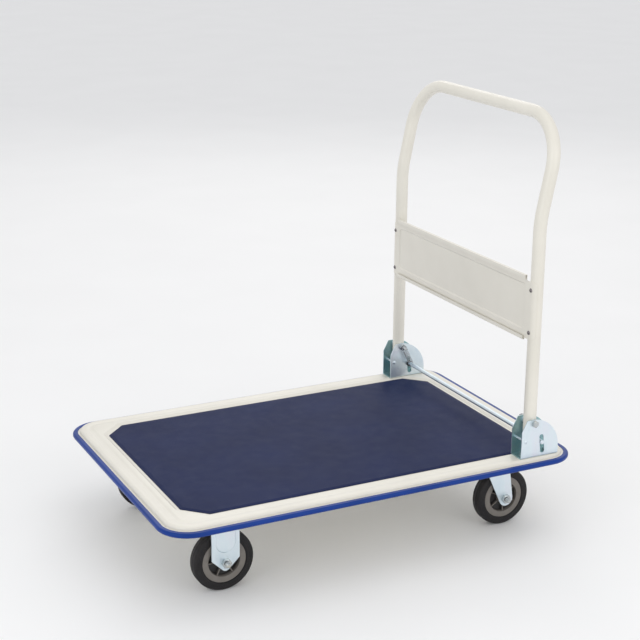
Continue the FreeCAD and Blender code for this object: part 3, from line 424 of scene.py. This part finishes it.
def bumper_vinyl():
    """Royal blue soft vinyl, satin, with faint extrusion lines round the deck."""
    recipe = Recipe("bumper_vinyl", (0.010, 0.030, 0.34), 0.34)
    recipe.mottle([(0.3, (0.002, 0.027, 0.21)), (0.7, (0.004, 0.036, 0.27))], 12.0, 2.0)
    recipe.roughen(0.28, 0.40, 90.0, 2.0)
    recipe.bump(recipe.noise(700.0, 2.0, (0.02, 0.02, 1.0)), 0.10, 0.0003)
    recipe.bump(recipe.noise(1400.0, 2.0), 0.06, 0.0002)
    recipe.set("Specular IOR Level", 0.35)
    recipe.set("Specular Tint", (0.62, 0.88, 1.0, 1.0))
    return recipe.material


def tyre_rubber():
    """Matt black rubber with mould bloom and fine grain."""
    recipe = Recipe("tyre_rubber", (0.021, 0.019, 0.021), 0.62)
    recipe.mottle([(0.3, (0.009, 0.008, 0.009)), (0.72, (0.016, 0.014, 0.015))], 35.0, 4.0)
    recipe.roughen(0.52, 0.72, 120.0, 3.0)
    recipe.bump(recipe.noise(1100.0, 3.0), 0.18, 0.0003)
    recipe.set("Specular IOR Level", 0.38)
    return recipe.material


def hub_nylon(name, plane_y):
    """Warm grey moulded nylon, with painted shade darkening it towards the web at plane_y."""
    recipe = Recipe(name, (0.165, 0.150, 0.135), 0.5)
    unshaded_nylon = recipe.ramp(
        recipe.noise(45.0, 3.0), [(0.3, (0.165, 0.150, 0.134)), (0.7, (0.200, 0.182, 0.164))])
    outward = recipe.range(recipe.off_plane(plane_y), 0.0, 1.0, *RECESS_SHADE_REACH)
    # painted shade: near black towards the web, where the recesses between the ribs lie in shade
    recipe.paint(recipe.mix(outward, (0.028, 0.026, 0.026), unshaded_nylon))
    recipe.roughen(0.44, 0.58, 160.0, 2.0)
    recipe.bump(recipe.noise(1300.0, 2.0), 0.10, 0.0002)
    return recipe.material


def blackened_steel():
    """Black-oxide screw steel, worn a little brighter in patches."""
    recipe = Recipe("blackened_steel", (0.24, 0.22, 0.22), 0.36, 0.75)
    recipe.mottle([(0.35, (0.20, 0.18, 0.19)), (0.75, (0.30, 0.28, 0.27))], 300.0, 3.0)
    recipe.bump(recipe.noise(1500.0, 2.0), 0.10, 0.0001)
    return recipe.material


def bright_fastener():
    """Glossy plated bolts and nuts, darker than the sheet parts where they mirror the room."""
    recipe = Recipe("bright_fastener", (0.50, 0.53, 0.55), 0.22, 1.0)
    recipe.mottle([
        (0.3, (0.40, 0.43, 0.44)),
        (0.55, (0.52, 0.55, 0.56)),
        (0.75, (0.58, 0.57, 0.50)),
    ], 90.0, 3.0)
    recipe.roughen(0.16, 0.30, 200.0, 2.0)
    recipe.bump(recipe.noise(1200.0, 2.0), 0.06, 0.0001)
    return recipe.material


def black_plastic():
    """Moulded black plastic with a fine satin grain."""
    recipe = Recipe("black_plastic", (0.020, 0.020, 0.022), 0.45)
    recipe.mottle([(0.3, (0.017, 0.017, 0.019)), (0.7, (0.026, 0.026, 0.028))], 60.0, 2.0)
    recipe.bump(recipe.noise(1600.0, 2.0), 0.12, 0.0002)
    return recipe.material


def spring_wire():
    """Drawn spring wire: dark steel with fine scratches."""
    recipe = Recipe("spring_wire", (0.42, 0.43, 0.45), 0.30, 0.95)
    recipe.mottle([(0.3, (0.34, 0.35, 0.37)), (0.7, (0.52, 0.53, 0.55))], 180.0, 2.0)
    recipe.bump(recipe.noise(2500.0, 2.0), 0.08, 0.0001)
    return recipe.material


def ground_steel():
    """Bright ground steel for balls and bushes."""
    recipe = Recipe("ground_steel", (0.56, 0.56, 0.57), 0.24, 0.95)
    recipe.mottle([(0.3, (0.50, 0.50, 0.51)), (0.7, (0.64, 0.64, 0.65))], 120.0, 2.0)
    recipe.bump(recipe.noise(800.0, 2.0, (1.0, 0.05, 1.0)), 0.06, 0.0002)
    return recipe.material


def make_materials():
    return {
        "ivory_powder_coat": powder_coat(),
        "zinc_plated_steel": zinc_plate(),
        "mat_vinyl": mat_vinyl(),
        "bumper_vinyl": bumper_vinyl(),
        "tyre_rubber": tyre_rubber(),
        "hub_plastic": hub_nylon("hub_nylon", 0.0),
        "black_plastic": black_plastic(),
        "blackened_steel": blackened_steel(),
        "spring_steel": spring_wire(),
        "polished_steel": ground_steel(),
    }


def finish_cad_nodes(materials):
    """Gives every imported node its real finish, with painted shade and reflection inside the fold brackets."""
    for part in frame["record"]["subparts"]:
        node = NODES[part["node"]]
        node.data.materials.clear()
        node.data.materials.append(materials[part["material_slot"]])
    bracket_low, bracket_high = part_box("fold_bracket_right")
    middle = (bracket_low.y + bracket_high.y) / 2
    inner_half = (bracket_high.y - bracket_low.y) / 2 - CHEEK_SKIN
    # the brackets' zinc carries painted shade and reflection between the cheeks
    plated_with_painted_shade = zinc_plate("zinc_plate_bracket_painted_shade", middle, inner_half)
    for name, _ in SIDES:
        NODES[f"fold_bracket_{name}"].data.materials[0] = plated_with_painted_shade


# ---- wheels -----------------------------------------------------------------
WHEEL_SEGMENTS = 120
TYRE_SHOULDER_R = 5.5 * MM
TYRE_LIP = 1.2 * MM             # how far the lip round the hub lies inside the side wall
TYRE_LIP_WIDTH = 2.3 * MM
TYRE_LIP_EDGE = 0.3 * MM
TYRE_WALL_R = 1.0 * MM          # rounding from the lip up to the side wall
TYRE_RING_AT = 7.0 * MM         # first fine groove of the side wall, out from the bore
TYRE_RING_STEP = 3.0 * MM
TYRE_RING_DEPTH = 0.35 * MM
TYRE_RING_HALVES = (0.5 * MM, 0.2 * MM)         # half widths at its top and at its floor
TYRE_FLASH = 0.15 * MM          # height of the parting line on the tread
TYRE_FLASH_HALVES = (0.35 * MM, 0.12 * MM)      # half widths at its foot and at its crest
HUB_HALF_WIDTH = 12.5 * MM
HUB_BORE_R = 8.0 * MM
HUB_BOSS_R = 13.5 * MM
HUB_RING = 12.0 * MM            # from the hub's rim in to the inner side of its ring
HUB_RING_FOOT = 2.2 * MM        # how far the ring's inner side leans in at the web
HUB_WEB_HALF = 1.6 * MM
HUB_EDGE_R = 0.7 * MM
RIB_COUNT = 6
RIB_THICK = 2.2 * MM
RIB_EDGE = 0.45 * MM
RIB_SUNK = 2.5 * MM             # how far ribs stay inside the faces of the hub
RIB_OVERLAP = 2.0 * MM          # length that a rib shares with boss and ring
FRONT_RIBS_AT = 4.0             # degrees
REAR_RIBS_AT = 34.0


def mirrored_profile(half):
    """Whole section out of the half with y above zero, listed from the bore outwards."""
    return half + [(r, -y) for r, y in reversed(half)]


def tyre_part(outer_r, bore_r, half_width):
    """Moulded tyre: seat lip, side wall with two fine grooves, round shoulder, parting line."""
    lip_y = half_width - TYRE_LIP
    wall_at = (bore_r + TYRE_LIP_WIDTH + TYRE_WALL_R, half_width - TYRE_WALL_R)
    half = [(bore_r, lip_y - TYRE_LIP_EDGE), (bore_r + TYRE_LIP_EDGE, lip_y)]
    half += [(bore_r + TYRE_LIP_WIDTH, lip_y)]
    half += arc_points(wall_at, TYRE_WALL_R, 180, 90, 4)
    top, floor = TYRE_RING_HALVES
    floor_y = half_width - TYRE_RING_DEPTH
    for k in range(2):
        r = bore_r + TYRE_RING_AT + k * TYRE_RING_STEP
        half += [(r - top, half_width), (r - floor, floor_y)]
        half += [(r + floor, floor_y), (r + top, half_width)]
    tread_r = outer_r - TYRE_FLASH
    shoulder_at = (tread_r - TYRE_SHOULDER_R, half_width - TYRE_SHOULDER_R)
    half += arc_points(shoulder_at, TYRE_SHOULDER_R, 90, 0, 8)
    foot, crest = TYRE_FLASH_HALVES
    half += [(tread_r, foot), (outer_r, crest)]
    return lathe_y(mirrored_profile(half), WHEEL_SEGMENTS)


def hub_part(outer_r, boss_half):
    """Turned body of the hub: boss, thin web and ring with softened edges."""
    soft = HUB_EDGE_R
    ring_r = outer_r - HUB_RING
    web_y, face_y = HUB_WEB_HALF + soft, HUB_HALF_WIDTH - soft
    half = [(HUB_BORE_R, boss_half)]
    half += arc_points((HUB_BOSS_R - soft, boss_half - soft), soft, 90, 0, 4)
    half += arc_points((HUB_BOSS_R + soft, web_y), soft, 180, 270, 3)
    half += arc_points((ring_r - HUB_RING_FOOT, web_y), soft, 270, 350, 3)
    half += arc_points((ring_r + soft, face_y), soft, 180, 90, 4)
    half += arc_points((outer_r - soft, face_y), soft, 90, 0, 4)
    return lathe_y(mirrored_profile(half), WHEEL_SEGMENTS)


def soft_box(length, width, height, soft):
    """Box with chamfered long edges, centred on the origin, its length along X."""
    section = []
    for sx, sy in ((1, 1), (-1, 1), (-1, -1), (1, -1)):
        flat = (sx * (width / 2 - soft), sy * height / 2)
        upright = (sx * width / 2, sy * (height / 2 - soft))
        section += [flat, upright] if sx * sy < 0 else [upright, flat]
    count = len(section)
    verts = [Vector((x, y, z)) for x in (-length / 2, length / 2) for y, z in section]
    faces = [tuple(reversed(range(count))), tuple(range(count, 2 * count))]
    faces += [(i, (i + 1) % count, count + (i + 1) % count, count + i) for i in range(count)]
    return verts, faces


def rib_parts(ring_r, first_degrees):
    """Thin radial ribs from boss to ring, the same on both sides of the web."""
    parts = []
    length = ring_r - HUB_BOSS_R + RIB_OVERLAP
    width = 2 * (HUB_HALF_WIDTH - RIB_SUNK)
    for k in range(RIB_COUNT):
        angle = math.radians(-(first_degrees + 360 / RIB_COUNT * k))
        turn = Matrix.Rotation(angle, 4, "Y")
        shift = Matrix.Translation(((HUB_BOSS_R + ring_r) / 2, 0, 0))
        verts, faces = soft_box(length, width, RIB_THICK, RIB_EDGE)
        parts.append(([turn @ shift @ v for v in verts], faces))
    return parts


def wheel_plane(end):
    """How far to each side of the trolley's middle the wheels at this end run."""
    low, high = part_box(f"{end}_tyre_right")
    return (low.y + high.y) / 2


def make_wheel(end, name, first_degrees, nylon):
    """Tyre and ribbed hub in the places of one wheel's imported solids."""
    low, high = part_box(f"{end}_tyre_{name}")
    hub_low, hub_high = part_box(f"{end}_hub_{name}")
    centre = (low + high) / 2
    outer_r = (high.z - low.z) / 2
    hub_r = (hub_high.z - hub_low.z) / 2
    boss_half = (hub_high.y - hub_low.y) / 2
    body = f"{end}_wheel_{name}"

    tyre = moved(tyre_part(outer_r, hub_r, (high.y - low.y) / 2), centre)
    piece = mesh_object(f"{end}_wheel_{name}_tyre", *tyre, MATERIALS["tyre_rubber"], crease=40)
    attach(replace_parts(piece, f"{end}_tyre_{name}"), body)

    parts = [hub_part(hub_r, boss_half)] + rib_parts(hub_r - HUB_RING, first_degrees)
    hub = moved(join_parts(parts), centre)
    piece = mesh_object(f"{end}_wheel_{name}_hub", *hub, nylon, crease=30)
    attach(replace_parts(piece, f"{end}_hub_{name}"), body)


# ---- return springs ---------------------------------------------------------
SPRING_NECK = 8.5 * MM          # from each pin to the first coil
SPRING_COIL_R = 5.2 * MM
SPRING_WIRE_R = 0.7 * MM
SPRING_TURNS = 9
SPRING_TURN_STEPS = 28
HOOK_DEGREES = 225
HOOK_STEPS = 14
WIRE_SIDES = 10


def spring_points(upper, lower):
    """Centre line of an extension spring with a hook round each of its two pins."""
    coil_r = SPRING_COIL_R
    axis = (lower - upper).normalized()
    side = Vector((0, 1, 0))
    out = side.cross(axis).normalized()
    if out.x < 0:
        out = -out
    points = []
    for k in range(HOOK_STEPS + 1):
        angle = math.radians(HOOK_DEGREES - HOOK_DEGREES * k / HOOK_STEPS)
        points.append(upper + out * (coil_r * math.cos(angle)) - axis * (coil_r * math.sin(angle)))
    start = upper + axis * SPRING_NECK
    length = (lower - upper).length - 2 * SPRING_NECK
    steps = SPRING_TURNS * SPRING_TURN_STEPS
    for k in range(steps + 1):
        angle = 2 * math.pi * SPRING_TURNS * k / steps
        ring = out * math.cos(angle) + side * math.sin(angle)
        points.append(start + axis * (length * k / steps) + ring * coil_r)
    for k in range(HOOK_STEPS + 1):
        angle = math.radians(HOOK_DEGREES * k / HOOK_STEPS)
        points.append(lower + out * (coil_r * math.cos(angle)) + axis * (coil_r * math.sin(angle)))
    return points


def make_spring(name):
    """Return spring from one pivot bolt to the lock rod."""
    fold = JOINTS["handle_fold"]["pos_m"]
    low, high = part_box("release_rod")
    spring_low, spring_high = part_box(f"return_spring_{name}")
    y = (spring_low.y + spring_high.y) / 2
    upper = Vector((fold[0], y, fold[2]))
    lower = Vector(((low.x + high.x) / 2, y, (low.z + high.z) / 2))
    part = tube_along(spring_points(upper, lower), SPRING_WIRE_R, WIRE_SIDES)
    piece = mesh_object(f"spring_{name}", *part, MATERIALS["spring_steel"], crease=60)
    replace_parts(piece, f"return_spring_{name}")
    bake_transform(piece)


# ---- fasteners --------------------------------------------------------------
class Thread:
    """One size of hexagon fastener, given in millimetres and kept in metres."""

    def __init__(self, radius, flats, head, nut, pitch):
        self.radius = radius * MM
        self.flats = flats * MM
        self.head = head * MM
        self.nut = nut * MM
        self.pitch = pitch * MM


M8 = Thread(4.0, 13.0, 5.3, 6.5, 1.25)
M10 = Thread(5.0, 17.0, 6.4, 8.0, 1.5)
HEX_STEPS = 48
HEX_CROWN = 0.95                # of the width across flats: the flat top inside the turned rim
HEX_RIM_DEGREES = 30
SHANK_SEGMENTS = 32
SHANK_IN_HEAD = 0.5 * MM
THREAD_DEPTH = 0.55             # these four are shares of the pitch
THREAD_ROOT_AT = 0.45
THREAD_CREST_AT = 0.9
NUT_BITE = 0.45                 # how far a nut's bore is inside its bolt's radius
AXLE_THREAD = 8.5 * MM          # thread of an axle bolt beyond its nut's height
PIVOT_NUT = 7.0 * MM
PIVOT_TAIL = 9.0 * MM           # end of the pivot bolt past its nut
PIVOT_THREAD = 9.5 * MM         # thread of the pivot bolt beyond its nut's height
FOOT_BOLT_PLAIN = 4.0 * MM      # unthreaded length under the head
PLATE_BOLT_PLAIN = 6.0 * MM
PLATE_BOLT_X = 40 * MM          # bolts of a caster plate, from its middle
PLATE_BOLT_Y = 30 * MM


def hex_ring(flats, angle):
    """Distance from the middle of a hexagon to its side at angle."""
    turn = (angle + math.pi / 6) % (math.pi / 3) - math.pi / 6
    return flats / 2 / math.cos(turn)


def hex_part(flats, height, chamfer_both, bore=0.0):
    """Hexagon along +Y with its upper or both rims turned off, and an optional bore."""
    crown = flats / 2 * HEX_CROWN
    slope = math.tan(math.radians(HEX_RIM_DEGREES))
    angles = [2 * math.pi * k / HEX_STEPS for k in range(HEX_STEPS)]
    rows = [[], [], [], []]
    for angle in angles:
        side = hex_ring(flats, angle)
        drop = (side - crown) * slope
        base = drop if chamfer_both else 0.0
        rim = crown if chamfer_both else side
        for row, r, y in zip(rows, (rim, side, side, crown), (0.0, base, height - drop, height)):
            row.append(Vector((r * math.cos(angle), y, r * math.sin(angle))))
    if bore:
        for y in (height, 0.0):
            rows.append([Vector((bore * math.cos(a), y, bore * math.sin(a))) for a in angles])
    if not chamfer_both:
        rows.pop(0)
    verts = [v for row in rows for v in row]
    faces = []
    spans = len(rows) if bore else len(rows) - 1
    for i in range(spans):
        a, b = i * HEX_STEPS, (i + 1) % len(rows) * HEX_STEPS
        for k in range(HEX_STEPS):
            n = (k + 1) % HEX_STEPS
            faces.append((a + k, b + k, b + n, a + n))
    if not bore:
        last = (len(rows) - 1) * HEX_STEPS
        faces.append(tuple(range(HEX_STEPS)))
        faces.append(tuple(last + k for k in reversed(range(HEX_STEPS))))
    return verts, faces


def thread_profile(size, start, end):
    """Crests and roots of a thread from start to end, finished by a turned lead-in."""
    depth = THREAD_DEPTH * size.pitch
    points = []
    y = start
    while y + size.pitch < end - depth:
        points += [(size.radius, y), (size.radius - depth, y + size.pitch * THREAD_ROOT_AT)]
        points += [(size.radius, y + size.pitch * THREAD_CREST_AT)]
        y += size.pitch
    return points + [(size.radius, y), (size.radius, end - depth), (size.radius - depth, end)]


def bolt_part(size, length, plain):
    """Hexagon bolt: head below the origin, shank along +Y, threaded past its plain length."""
    verts, faces = hex_part(size.flats, size.head, False)
    head = [Vector((v.x, -v.y, -v.z)) for v in verts]
    profile = [(size.radius, -SHANK_IN_HEAD), (size.radius, plain)]
    profile += thread_profile(size, plain, length)
    return join_parts([(head, faces), turned_bar(profile, SHANK_SEGMENTS)])


def nut_part(size, height=None):
    return hex_part(size.flats, height or size.nut, True, size.radius - NUT_BITE * size.pitch)


def outer_end(low, high, side):
    """Y of the face of a box that looks out to this side of the trolley."""
    return high.y if side > 0 else low.y


def fastener_piece(name, parts, body, *nodes):
    piece = mesh_object(name, *join_parts(parts), BRIGHT_FASTENER, crease=25)
    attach(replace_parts(piece, *nodes), body)


def make_axle_fasteners():
    """Axle bolts with their heads inboard and their threaded ends out past the nuts."""
    rear_low, rear_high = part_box("rear_axle_bolt_left")
    span = rear_high.y - rear_low.y - M10.head
    bolt = bolt_part(M10, span, span - M10.nut - AXLE_THREAD)
    nut = nut_part(M10)
    front_low, front_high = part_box("front_axle_bolts")
    nut_low, nut_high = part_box("front_axle_nuts")
    front_x, front_z = (front_low.x + front_high.x) / 2, (front_low.z + front_high.z) / 2
    bolts, nuts = [], []
    for name, side in SIDES:
        axis = (0, side, 0)
        tail = outer_end(front_low, front_high, side)
        bolts.append(oriented(bolt, (front_x, tail - side * span, front_z), axis))
        face = outer_end(nut_low, nut_high, side) - side * M10.nut
        nuts.append(oriented(nut, (front_x, face, front_z), axis))
        low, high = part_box(f"rear_axle_bolt_{name}")
        x, z = (low.x + high.x) / 2, (low.z + high.z) / 2
        rear = oriented(bolt, (x, outer_end(low, high, side) - side * span, z), axis)
        fastener_piece(f"rear_axle_{name}", [rear], f"swivel_{name}", f"rear_axle_bolt_{name}")
        low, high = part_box(f"rear_axle_nut_{name}")
        rear = oriented(nut, (x, outer_end(low, high, -side), z), axis)
        fastener_piece(
            f"rear_axle_lock_nut_{name}", [rear], f"swivel_{name}", f"rear_axle_nut_{name}")
    fastener_piece("front_axles", bolts, "deck", "front_axle_bolts")
    fastener_piece("front_axle_lock_nuts", nuts, "deck", "front_axle_nuts")


def make_pivot_fasteners():
    """Pivot bolts: head on the outer cheek, nut and tail on the inner one."""
    nuts = []
    for name, side in SIDES:
        axis = (0, -side, 0)
        low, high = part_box(f"pivot_bolt_{name}")
        x, z = (low.x + high.x) / 2, (low.z + high.z) / 2
        seat = outer_end(low, high, side) - side * M8.head
        length = abs(seat - outer_end(low, high, -side))
        bolt = bolt_part(M8, length, length - PIVOT_NUT - PIVOT_THREAD)
        fastener_piece(
            f"pivot_pin_{name}", [oriented(bolt, (x, seat, z), axis)], "deck", f"pivot_bolt_{name}")
        inner = seat - side * (length - PIVOT_NUT - PIVOT_TAIL)
        nuts.append(oriented(nut_part(M8, PIVOT_NUT), (x, inner, z), axis))
    fastener_piece("pivot_lock_nuts", nuts, "deck", "pivot_nuts")


def bolts_down(places, seat, low_z, plain, nut_top):
    """Bolts from seat down to low_z at each (x, y), and nuts that hang from nut_top."""
    down = (0, 0, -1)
    bolt, nut = bolt_part(M8, seat - low_z, plain), nut_part(M8)
    bolts = [oriented(bolt, (x, y, seat), down) for x, y in places]
    return bolts, [oriented(nut, (x, y, nut_top), down) for x, y in places]


def make_base_fasteners():
    """Bolts down through each bracket's foot and the deck, with nuts underneath."""
    low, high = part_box("bracket_bolts")
    _, nut_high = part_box("bracket_nuts")
    inset_x, inset_y = M8.flats / 2, M8.flats / math.sqrt(3)
    places = [(x, y) for x in (low.x + inset_x, high.x - inset_x)
              for y in (low.y + inset_y, high.y - inset_y)]
    bolts, nuts = bolts_down(places, high.z - M8.head, low.z, FOOT_BOLT_PLAIN, nut_high.z)
    fastener_piece("bracket_foot_bolts", bolts, "deck", "bracket_bolts")
    fastener_piece("bracket_foot_nuts", nuts, "deck", "bracket_nuts")


def make_caster_fasteners():
    """Four bolts down through every caster plate, nuts below."""
    low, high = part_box("caster_bolts")
    _, nut_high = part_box("caster_nuts")
    places = []
    for node in ("fixed_fork_left", "fixed_fork_right", "swivel_plate_left", "swivel_plate_right"):
        plate_low, plate_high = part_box(node)
        centre = (plate_low + plate_high) / 2
        places += [(x, y) for x in (centre.x - PLATE_BOLT_X, centre.x + PLATE_BOLT_X)
                   for y in (centre.y - PLATE_BOLT_Y, centre.y + PLATE_BOLT_Y)]
    bolts, nuts = bolts_down(places, high.z - M8.head, low.z, PLATE_BOLT_PLAIN, nut_high.z)
    fastener_piece("caster_plate_bolts", bolts, "deck", "caster_bolts")
    fastener_piece("caster_plate_nuts", nuts, "deck", "caster_nuts")


# ---- mat --------------------------------------------------------------------
MAT_CHAMFER = 43.0 * MM
MAT_CORNER_EASE = 1.0 * MM      # how far from a corner its curve begins
MAT_CORNER_STEPS = 3
MAT_ROLL_R = 0.9 * MM
MAT_ROLL_DEGREES = (22, 45, 68, 90)
MAT_SUNK = 0.25 * MM            # how far the border lies below the field
MAT_BORDER_AT = 5.0 * MM        # where the border ends, the field begins, and a last loop lies
MAT_FIELD_AT = (5.5 * MM, 9.0 * MM)


def mat_loop(half_x, half_y, inset, z):
    """Outline of the mat inside its edge by inset: a rectangle with cut, slightly eased corners."""
    chamfer = MAT_CHAMFER - inset * (2 - math.sqrt(2))
    hx, hy = half_x - inset, half_y - inset
    corners = []
    for sx, sy in ((1, -1), (1, 1), (-1, 1), (-1, -1)):
        long_end = Vector((sx * (hx - chamfer), sy * hy, z))
        short_end = Vector((sx * hx, sy * (hy - chamfer), z))
        corners += [long_end, short_end] if sx * sy < 0 else [short_end, long_end]
    points = []
    count = len(corners)
    for i, corner in enumerate(corners):
        before = (corners[i - 1] - corner).normalized()
        after = (corners[(i + 1) % count] - corner).normalized()
        start, end = corner + before * MAT_CORNER_EASE, corner + after * MAT_CORNER_EASE
        for k in range(MAT_CORNER_STEPS + 1):
            t = k / MAT_CORNER_STEPS
            points.append(start * (1 - t) ** 2 + corner * (2 * t * (1 - t)) + end * t**2)
    return points


def make_mat():
    """Laid vinyl mat with a rolled edge and a narrow border a little below its field."""
    low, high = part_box("deck_mat")
    half_x, half_y = (high.x - low.x) / 2, (high.y - low.y) / 2
    roll, sunk = MAT_ROLL_R, MAT_SUNK
    loops = [(0.0, low.z), (0.0, high.z - roll)]
    for angle in (math.radians(degrees) for degrees in MAT_ROLL_DEGREES):
        loops.append((
            roll - roll * math.cos(angle),
            high.z - roll + roll * math.sin(angle) - sunk * math.sin(angle)))
    loops.append((MAT_BORDER_AT, high.z - sunk))
    loops += [(inset, high.z) for inset in MAT_FIELD_AT]
    verts = []
    for inset, z in loops:
        verts += mat_loop(half_x, half_y, inset, z)
    faces = skin_faces(len(loops), len(verts) // len(loops))
    piece = mesh_object("deck_mat_sheet", verts, faces, MATERIALS["mat_vinyl"], crease=40)
    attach(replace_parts(piece, "deck_mat"), "deck")


# ---- weld beads -------------------------------------------------------------
WELD_R = 1.9 * MM
WELD_TIP = 0.02                 # square of the share of the radius left at the ends
WELD_STEPS = 26
WELD_SIDES = 8
WELD_HALF_LENGTH = 15.0 * MM
WELD_SUNK = 1 * MM              # how far a bead's middle lies below the lip's top
CHANNEL_WELDS_Y = (-200 * MM, -66 * MM, 66 * MM, 200 * MM)
STIFFENER_WELDS = 4


def weld_bead(start, end):
    """Short fillet weld: a low rounded bead, tapering at both ends."""
    verts = []
    axis = (end - start).normalized()
    across = axis.cross(Vector((0, 0, 1)))
    for i in range(WELD_STEPS + 1):
        t = i / WELD_STEPS
        radius = WELD_R * math.sqrt(max(1 - (2 * t - 1) ** 4, WELD_TIP))
        centre = start + (end - start) * t
        for k in range(WELD_SIDES):
            angle = 2 * math.pi * k / WELD_SIDES
            rise = Vector((0, 0, radius * math.sin(angle)))
            verts.append(centre + across * (radius * math.cos(angle)) + rise)
    return verts, skin_faces(WELD_STEPS + 1, WELD_SIDES)


def make_welds():
    """Stitch welds along the lips of the channels under the deck."""
    half = WELD_HALF_LENGTH
    parts = []
    for name in ("front_cross_channel", "rear_cross_channel"):
        low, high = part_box(name)
        z = high.z - WELD_SUNK
        for x in (low.x, high.x):
            for y in CHANNEL_WELDS_Y:
                parts.append(weld_bead(Vector((x, y - half, z)), Vector((x, y + half, z))))
    for name, _ in SIDES:
        low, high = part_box(f"side_stiffener_{name}")
        z = high.z - WELD_SUNK
        for y in (low.y, high.y):
            for k in range(STIFFENER_WELDS):
                x = low.x + (high.x - low.x) * (k + 0.5) / STIFFENER_WELDS
                parts.append(weld_bead(Vector((x - half, y, z)), Vector((x + half, y, z))))
    beads = join_parts(parts)
    piece = mesh_object("deck_weld_beads", *beads, MATERIALS["ivory_powder_coat"], crease=50)
    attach(piece, "deck")


MATERIALS = make_materials()
BRIGHT_FASTENER = bright_fastener()
finish_cad_nodes(MATERIALS)
make_camera()
make_studio()
front_nylon = hub_nylon("hub_nylon_front", wheel_plane("front"))
rear_nylon = hub_nylon("hub_nylon_rear", wheel_plane("rear"))
for side_name, _ in SIDES:
    make_wheel("front", side_name, FRONT_RIBS_AT, front_nylon)
    make_wheel("rear", side_name, REAR_RIBS_AT, rear_nylon)
    make_spring(side_name)
make_axle_fasteners()
make_pivot_fasteners()
make_base_fasteners()
make_caster_fasteners()
make_mat()
make_welds()
